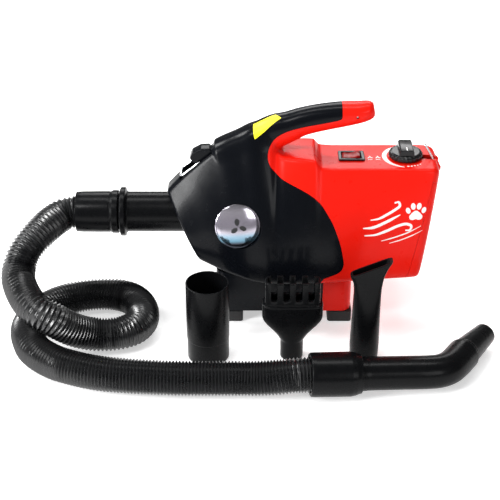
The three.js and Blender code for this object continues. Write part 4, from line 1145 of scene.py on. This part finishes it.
# ------------------------------------------------------------------ badge, hook, ring, gland, hinge pin
badge_prof = [(0, -1.6), (27.3, -1.6), (27.75, -1.0), (27.75, -0.3), (26.9, 0.25), (25.6, 0.3), (25.0, 0.62), (22, 1.45), (18, 2.2), (13, 2.8), (8, 3.15), (4, 3.32), (0, 3.38)]
badge = lathe("badge_dome", badge_prof, BADGE_N, BADGE_P, BADGE, 160, [0, .3, .3, .3, .4, .3, .4, 4, 4, 4, 4, 3, 0], 3, 34)
put(badge, "dryer_body", "badge")
hook = prism("strap_hook_moulding", [along(52.4, -9.5), along(52.4, 3), along(45, 9.3), along(33, 12.3), along(26.7, 10.3), along(24.7, 5), along(27.1, -1.5), along(27.6, -5.4), along(34.4, -6.4), along(38, -10.3)], -8.4, 8.4, None, 2.0, 5)
bevel(hook, 0.9, 3, 40)
boolean(hook, "DIFFERENCE", rod("c", 2.3, -20, 20, Yd, (along(31.5, -1.2)[0], 0, along(31.5, -1.2)[1]), seg=40))
hook.data.materials.clear()
hook.data.materials.append(BLACK)
smooth(hook, 34)
put(hook, "dryer_body", "strap_hook")
corners = fillet([(31.5, -10.6), (31.5, 10.6), (2.2, 10.6), (2.2, -10.6)], 4.5, True, 10)
loop = []
for s, y in corners:
    d = -1.2 + (31.5 - s) / (31.5 - 2.2) * 1.8
    a = along(s, d)
    loop.append((a[0], y, a[1]))
loop, _ = spaced(np.array(loop + [loop[0]]), 0.8)
loop = loop[:-1]
T = np.roll(loop, -1, 0) - np.roll(loop, 1, 0)
T /= np.linalg.norm(T, axis=1)[:, None]
up = np.array([-slope[1], 0, slope[0]])
sideways = np.cross(T, up)
t = np.linspace(0, 2 * math.pi, 20, endpoint=False)
V, F = rings_mesh([loop[i] + 1.48 * (np.outer(np.cos(t), up) + np.outer(np.sin(t), sideways[i])) for i in range(len(loop))], closed=True)
ring = outward(new_object("strap_ring_wire", V, F, CHROME, 60))
put(ring, "ring", "strap_ring")

# narrow wire ring on the hinge pin, between the rear lugs
d0 = np.array([math.cos(math.radians(120)), 0, math.sin(math.radians(120))])
hinge_at = np.array([HINGE[0], 0.0, HINGE[1]])
bend = fillet([(2.4, -4.6), (31, -4.6), (31, 4.6), (2.4, 4.6)], 2.2, False, 8)
wire = np.array([hinge_at + d0 * r + np.array([0, y, 0]) for r, y in bend])
wire, _ = spaced(wire, 0.7)
rear_ring = tube("rear_ring_wire", wire, 0.92, None, CHROME, 20, 60)
for y in (-4.6, 4.6):
    boolean(rear_ring, "UNION", lathe("c", [(1.0, y - .88), (3.25, y - .88), (3.25, y + .88), (1.0, y + .88)], Yd, tuple(hinge_at), CHROME, 48, 0.3, 2))
boolean(rear_ring, "DIFFERENCE", rod("c", 1.75, -20, 20, Yd, tuple(hinge_at), seg=32))
rear_ring.data.materials.clear()
rear_ring.data.materials.append(CHROME)
smooth(rear_ring, 40)
put(rear_ring, "rear_ring", "rear_strap_ring")

gland_prof = [(3.5, -9), (6.8, -9), (6.9, 3.7), (9.5, 3.7), (9.5, 6.2), (6.6, 8.4)]
for i in range(5):
    h = 10.2 + i * 2.6
    r = 6.0 - i * 0.28
    gland_prof += [(r - 0.9, h - 0.7), (r - 0.9, h), (r - 0.1, h + 0.2), (r - 0.15, h + 1.5)]
gland_prof += [(4.5, 23.6), (4.2, 24), (3.5, 24)]
gland = lathe("cord_gland_ribbed", gland_prof, Yd, (122, 54.6, 118), RUBBER, 64, 0.3, 2)
put(gland, "dryer_body", "cord_gland")
pin = lathe("door_hinge_rod", [(0, -15), (1.4, -15), (1.4, 15), (0, 15)], Yd, (HINGE[0], 0, HINGE[1]), STEEL, 32, 0.4)
put(pin, "dryer_body", "door_hinge_pin")

# ------------------------------------------------------------------ prints and stickers, thin raised sheets that follow the skin
def decal(name, loops, origin, U, W, toward, mat, body, lift=0.06, thick=0.12, step=2.5, surface_z=None, bvh=None):
    """loops: closed 2D outlines in millimetres on the plane origin + u U + w W; cast along toward onto the skin. A loop inside another is a hole."""
    U, W, toward = (np.asarray(v, float) / np.linalg.norm(v) for v in (U, W, toward))
    bm = bmesh.new()
    for loop in loops:
        vs = [bm.verts.new((p[0], p[1], 0)) for p in loop]
        for i in range(len(vs)):
            bm.edges.new((vs[i], vs[(i + 1) % len(vs)]))
    bmesh.ops.triangle_fill(bm, use_beauty=True, use_dissolve=False, edges=bm.edges[:])
    for _ in range(4):
        long = [e for e in bm.edges if e.calc_length() > step]
        if not long:
            break
        bmesh.ops.subdivide_edges(bm, edges=long, cuts=1)
        bmesh.ops.triangulate(bm, faces=bm.faces[:])
    o = np.asarray(origin, float)
    top = []
    bm.verts.ensure_lookup_table()
    for v in bm.verts:
        p = o + U * v.co.x + W * v.co.y - toward * 30
        if surface_z is not None:
            hit, n = np.array([p[0], p[1], surface_z]) if abs(toward[2]) > 0.9 else p, np.array([0, 0, 1.0])
        else:
            h, nn, _, _ = (bvh or outer_bvh).ray_cast(Vector(row(p)), Vector(toward), 0.12)
            if h is None:
                h, nn, _, _ = (bvh or outer_bvh).find_nearest(Vector(row(p + toward * 30)))
            hit = np.array(h) * 1000 - ORIGIN
            n = np.array(nn)
        top.append((hit, n))
    base_f = [[v.index for v in f.verts] for f in bm.faces]
    for i, v in enumerate(bm.verts):
        v.index = i
    border = [(e.verts[0].index, e.verts[1].index) for e in bm.edges if len(e.link_faces) == 1]
    bm.free()
    n = len(top)
    V = [h + m * (lift + thick) for h, m in top] + [h + m * (lift - 0.05) for h, m in top]
    F = [tuple(f) for f in base_f] + [tuple(n + i for i in reversed(f)) for f in base_f] + [(a, b, n + b, n + a) for a, b in border]
    ob = outward(new_object(name, np.array(V), F, mat, 50))
    return put(ob, body)


def stroke(points, width, taper0=1.0, taper1=1.0, n=10):
    P = catmull([(x, y, 0) for x, y in points], n)[:, :2]
    T = np.gradient(P, axis=0)
    T /= np.linalg.norm(T, axis=1)[:, None]
    Nn = np.column_stack([-T[:, 1], T[:, 0]])
    u = np.linspace(0, 1, len(P))
    w = width / 2 * np.minimum(1, np.minimum(taper0 + (1 - taper0) * np.clip(u / 0.25, 0, 1), taper1 + (1 - taper1) * np.clip((1 - u) / 0.35, 0, 1)))
    a, b = P + Nn * w[:, None], P - Nn * w[:, None]
    return [tuple(p) for p in a] + [tuple(p) for p in b[::-1]]


def disc(x, y, a, b=None, turn=0.0, n=28):
    b = a if b is None else b
    out = []
    for i in range(n):
        t = i / n * 2 * math.pi
        px, py = a * math.cos(t), b * math.sin(t)
        out.append((x + px * math.cos(turn) - py * math.sin(turn), y + px * math.sin(turn) + py * math.cos(turn)))
    return out


# a made-up emblem on the left flank: three air streams and a paw
streams = [
    stroke([(-37, -13), (-24, -12.5), (-10, -8), (4, -2), (14, 0), (20, -3), (18.5, -8), (13, -8.2)], 3.4, 0.35, 0.5),
    stroke([(-39, -3.5), (-27, -3), (-14, 2), (-2, 8), (6, 12.2)], 3.6, 0.35, 0.25),
    stroke([(-30, 6.5), (-20, 8), (-9, 13.5), (0, 19), (5, 23.5), (3.5, 28), (-1.5, 27)], 3.2, 0.35, 0.5),
    stroke([(-16, -21), (0, -17), (16, -11.5), (32, -3.5)], 1.5, 0.5, 0.3),
    stroke([(-6, -24.5), (8, -20.8), (22, -15.4), (34, -9.6)], 1.2, 0.5, 0.3),
]
for i, s in enumerate(streams):
    decal(f"emblem_stream_{i + 1}", [s], (112, -60, 140), Xd, (0, 0.25, 0.97), Yd, WHITE_INK, "dryer_body")
px, py = 25.0, 11.0
pad = [(px - 7.2, py - 5.5), (px - 8.3, py - 1.5), (px - 5.2, py + 2.6), (px - 1.5, py + 5.6), (px + 1.5, py + 5.6), (px + 5.2, py + 2.6), (px + 8.3, py - 1.5), (px + 7.2, py - 5.5), (px + 3.2, py - 6.3), (px, py - 4.9), (px - 3.2, py - 6.3)]
paws = [fillet(pad, 2.6, True, 5), disc(px - 9.6, py + 6.0, 2.7, 3.9, 0.35), disc(px - 3.6, py + 11.2, 2.8, 4.2, 0.12), disc(px + 3.6, py + 11.2, 2.8, 4.2, -0.12), disc(px + 9.6, py + 6.0, 2.7, 3.9, -0.35)]
for i, s in enumerate(paws):
    decal(f"emblem_paw_{i + 1}", [s], (112, -60, 140), Xd, (0, 0.25, 0.97), Yd, WHITE_INK, "dryer_body")

# dial print round the knob: a crescent and dots that grow
ang = np.radians(np.linspace(96, 262, 48))
outer_arc = [(28.6 * math.cos(a), 28.6 * math.sin(a)) for a in ang]
thick = 1.1 + 4.4 * np.sin(np.linspace(0, math.pi, 48)) ** 0.8
inner_arc = [((28.6 - w) * math.cos(a), (28.6 - w) * math.sin(a)) for a, w in zip(ang, thick)][::-1]
decal("dial_crescent", [outer_arc + inner_arc], (KNOB_X, 0, 210), Xd, Yd, (0, 0, -1), WHITE_INK, "dryer_body")
for i, a in enumerate((272, 281, 290, 299, 308)):
    a = math.radians(a)
    decal(f"dial_dot_{i + 1}", [disc(25.8 * math.cos(a), 25.8 * math.sin(a), 1.45 - 0.13 * i)], (KNOB_X, 0, 210), Xd, Yd, (0, 0, -1), WHITE_INK, "dryer_body")
# two small fan marks beside the switch
for i, (cx, cy) in enumerate(((82.5, -2.0), (92.0, -2.0))):
    for j in range(3):
        a = math.radians(90 + 120 * j)
        decal(f"panel_mark_{i + 1}_{j + 1}", [disc(cx - KNOB_X + 1.9 * math.cos(a), cy + 1.9 * math.sin(a), 1.7, 0.85, a + 0.5, 18)], (KNOB_X, 0, 210), Xd, Yd, (0, 0, -1), WHITE_INK, "dryer_body")
    decal(f"panel_line_{i + 1}", [[(cx - KNOB_X - 2.6, cy - 6.2), (cx - KNOB_X + 2.6, cy - 6.2), (cx - KNOB_X + 2.6, cy - 5.1), (cx - KNOB_X - 2.6, cy - 5.1)]], (KNOB_X, 0, 210), Xd, Yd, (0, 0, -1), WHITE_INK, "dryer_body")

# plain yellow sticker on the crest
SN = np.array([-0.30, -0.66, 0.69])
SN = SN / np.linalg.norm(SN)
SO = np.array([-47.5, -9.0, 247.5])
SU = np.array([0.80, 0.0, 0.60])
SU = SU - SN * (SU @ SN)
SU = SU / np.linalg.norm(SU)
SW = np.cross(SN, SU)


def on_sticker(p):
    d = np.array(p, float) - SO
    return (float(d @ SU), float(d @ SW))


sticker = [on_sticker(p) for p in ((-58.6, -0.4, 247), (-33.5, -0.8, 262.0), (-26, -7.4, 260), (-58, -18, 236))]
decal("crest_sticker", [fillet(sticker, 1.2, True, 4)], SO, SU, SW, -SN, YELLOW, "dryer_body", thick=0.16)
c0 = np.mean(sticker, axis=0)

# fan mark on the badge
badge_bvh = BVHTree.FromObject(badge, bpy.context.evaluated_depsgraph_get())
BU = np.cross([0, 0, 1.0], BADGE_N)
BU = -BU / np.linalg.norm(BU) if BU[0] > 0 else BU / np.linalg.norm(BU)
BU = -BU
BW = np.cross(BADGE_N, BU)
if BW[2] < 0:
    BW = -BW
for i in range(3):
    a = math.radians(90 + i * 120)
    blade = [(1.6, 0.4), (4.0, -1.4), (8.2, -1.7), (10.6, 0.6), (9.8, 3.2), (6.4, 4.3), (3.2, 3.4), (1.6, 1.6)]
    blade = [(x * math.cos(a) - y * math.sin(a), x * math.sin(a) + y * math.cos(a)) for x, y in blade]
    decal(f"badge_blade_{i + 1}", [fillet(blade, 1.4, True, 4)], BADGE_P + BADGE_N * 4, BU, BW, -BADGE_N, DARK_INK, "dryer_body", bvh=badge_bvh, step=2)

# ------------------------------------------------------------------ inside
def turned(name, profile, node, mat, body="dryer_body", axis=Xd, pos=(0, 0, AX), seg=72, r=0.5, n=2):
    return put(lathe(name, profile, axis, pos, mat, seg, r, n), body, node)


turned("outlet_duct_cone", [(42.8, -42.4), (45, -42.4), (45, -46), (30.3, -118.6), (22.4, -118.6), (22.4, -116.4), (28.4, -116.4)], "outlet_duct", INNER)
turned("turbine_casting", [(45, -42), (45, -39.5), (44.3, -38.6), (44.3, -12.4), (45, -11.5), (45, -9), (18, -9), (18, -11), (42.8, -11), (42.8, -42)], "turbine_housing", ALUMINIUM)
turned("motor_shaft_ground", [(0, -38), (4, -38), (4, 86), (0, 86)], "motor_shaft", STEEL, "rotor")
motor = lathe("motor_can", [(11.3, -6), (30, -6), (30, -2), (43.8, 0), (43.8, 74), (34, 78), (11.3, 78), (11.3, 70), (6, 70), (6, 2), (11.3, 2)], Xd, A, STEEL, 96, 0.9, 3)
for i in range(8):
    a = math.radians(22.5 + 45 * i)
    vent = block("c", -4.6, 4.6, -2.2, 2.2, 74.2, 82, 2.1, 0.01, 0.01, None, 5)
    M = Matrix.Translation(rowv(0, 0, AX)) @ Matrix.Rotation(a, 4, "X") @ Matrix.Translation((0, 0.0225, 0)) @ Matrix.Rotation(math.pi / 2, 4, "Y") @ Matrix.Rotation(math.pi / 2, 4, "Z") @ Matrix.Translation(-rowv(0, 0, 0))
    vent.data.transform(M)
    outward(vent)
    boolean(motor, "DIFFERENCE", vent)
smooth(motor, 34)
put(motor, "dryer_body", "motor")
turned("bearing_front_race", [(4.4, -5), (10.9, -5), (10.9, 1.7), (4.4, 1.7)], "bearing_front", CHROME)
turned("bearing_rear_race", [(4.4, 70.3), (10.9, 70.3), (10.9, 77), (9.4, 77), (9.0, 76.2), (6.4, 76.2), (6.0, 77), (4.4, 77)], "bearing_rear", CHROME)
turned("motor_mount_front_ring", [(44.4, .5), (50.1, .5), (50.1, 2.4), (48.9, 3.4), (50.1, 4.7), (48.9, 6.1), (50.1, 7.2), (50.1, 9), (44.4, 9)], "motor_mount_front", RUBBER)
turned("motor_mount_rear_ring", [(44.4, 63), (50.1, 63), (50.1, 65), (48.9, 66.2), (50.1, 67.5), (48.9, 68.8), (50.1, 70), (50.1, 72), (44.4, 72)], "motor_mount_rear", RUBBER)
imp = lathe("impeller_plate", [(4.5, -35), (9.2, -35), (9.6, -33.5), (9.6, -21.6), (12, -21), (38.4, -20.7), (38.4, -19.1), (4.5, -19.1)], Xd, A, INNER, 96, 0.6, 3)
for i in range(8):
    sections = []
    for u in np.linspace(0, 1, 9):
        rr = 11 + 25.0 * u
        sweep_a = 0.42 * u * u
        half = (0.8 - 0.25 * u) / rr
        h = 34.8 - 5.0 * u * u
        sec = []
        for da, x in ((-half, -20.9), (half, -20.9), (half, -h), (-half, -h)):
            a = i * math.pi / 4 + sweep_a + da
            sec.append((x, rr * math.cos(a), AX + rr * math.sin(a)))
        sections.append(np.array(sec))
    V, F = rings_mesh(sections)
    boolean(imp, "UNION", outward(new_object("c", V, F)))
smooth(imp, 34)
put(imp, "rotor", "impeller")
turned("potentiometer_can", [(3.4, 190.2), (9, 190.2), (9, 197.6), (5.2, 198), (3.4, 198)], "speed_potentiometer", STEEL, axis=Zd, pos=(KNOB_X, 0, 0))
board = slab("control_board_plate", 88, 142, -22, 22, 184, 185.6, BOARD, 1.2)
put(board, "dryer_body", "control_board")
for nm, b, mat, rr in (("board_choke", (92, 106, -18, 2, 185.6, 196), INNER, 1.5), ("board_relay", (114, 138, 12, 20, 185.6, 193), INNER, 0.8)):
    p = block(nm, *b, rr, 0.2, 0.8, mat, 5)
    put(p, "dryer_body")
put(lathe("board_capacitor", [(0, 185.6), (5, 185.6), (5, 198), (3.6, 198), (3.4, 197.6), (0, 197.6)], Zd, (98, 12, 0), STEEL, 40, 0.4), "dryer_body")
lead1, _ = spaced(catmull([(SWITCH_X + 14.2, -4, 190), (SWITCH_X + 19, -4, 191), (86, -6, 189.5), (91.7, -6, 190)], 10), 0.8)
put(tube("board_lead_wire", lead1, 1.45, None, WIRE, 20, 40), "dryer_body", "board_lead")
lead2, _ = spaced(catmull([(98, -8, 183.6), (98, -8, 178), (95, -14, 170), (91, -19, 158), (85, -20, 150.4), (79.2, -20, 150)], 10), 0.8)
put(tube("motor_lead_wire", lead2, 1.45, None, WIRE, 20, 40), "dryer_body", "motor_lead")

# foam filter pad behind the door
fp, ft, fq = filter_skin
pad = skin_object("intake_foam_pad", fp, fq, ft)
boolean(pad, "INTERSECT", prism("c", [(lean(DOOR_X - 10, 84), 84), (lean(DOOR_X - 10, 184), 184), (lean(DOOR_X - 1.5, 184), 184), (lean(DOOR_X - 1.5, 84), 84)], -70, 70, None, 1.6, 3))
pad.data.materials.clear()
pad.data.materials.append(FOAM)
bevel(pad, 1.1, 2, 50)
put(pad, "door", "intake_filter")
bpy.data.objects.remove(skin_copy)
# ------------------------------------------------------------------ studio
def plain(name, color, rough=0.6, glow=0.0):
    m = bpy.data.materials.new(name)
    t, N, L, b = nodes_of(m)
    b.inputs["Base Color"].default_value = (*color, 1)
    b.inputs["Roughness"].default_value = rough
    b.inputs["Specular IOR Level"].default_value = 0.1
    b.inputs["Emission Color"].default_value = (1, 1, 1, 1)
    b.inputs["Emission Strength"].default_value = glow
    return m


floor = new_object("floor", [(-6000, -6000, -0.2), (6000, -6000, -0.2), (6000, 6000, -0.2), (-6000, 6000, -0.2)], [(0, 1, 2, 3)], plain("pale_floor", (0.87, 0.87, 0.87), glow=0.5))


def area(name, loc, look, size, power, color=(1, 1, 1)):
    d = bpy.data.lights.new(name, "AREA")
    d.shape = "RECTANGLE"
    d.size, d.size_y = size
    d.energy = power
    d.color = color
    o = bpy.data.objects.new(name, d)
    scene.collection.objects.link(o)
    o.location = loc
    o.rotation_mode = "QUATERNION"
    o.rotation_quaternion = (Vector(look) - Vector(loc)).to_track_quat("-Z", "Y")
    return o


centre = (0.0, 0.0, 0.12)
nose_at = (-0.1, 0.0, 0.18)
area("key", (-1.75, -0.95, 0.88), nose_at, (0.55, 0.75), 44)
area("over", (-0.75, -0.95, 1.85), nose_at, (0.4, 0.4), 10)
area("left", (-1.5, 0.45, 1.5), nose_at, (0.7, 0.7), 34)
area("fill", (1.2, -1.9, 1.0), centre, (0.8, 0.8), 9)
area("behind", (0.05, 1.65, 1.2), centre, (1.4, 0.5), 14)
area("top", (0.1, 0.35, 2.1), centre, (1.8, 0.4), 20)
world = bpy.data.worlds.new("studio")
scene.world = world
world.use_nodes = True
world.node_tree.nodes["Background"].inputs["Color"].default_value = (1, 1, 1, 1)
world.node_tree.nodes["Background"].inputs["Strength"].default_value = 0.22
scene.view_settings.view_transform = "Standard"
scene.view_settings.look = "None"
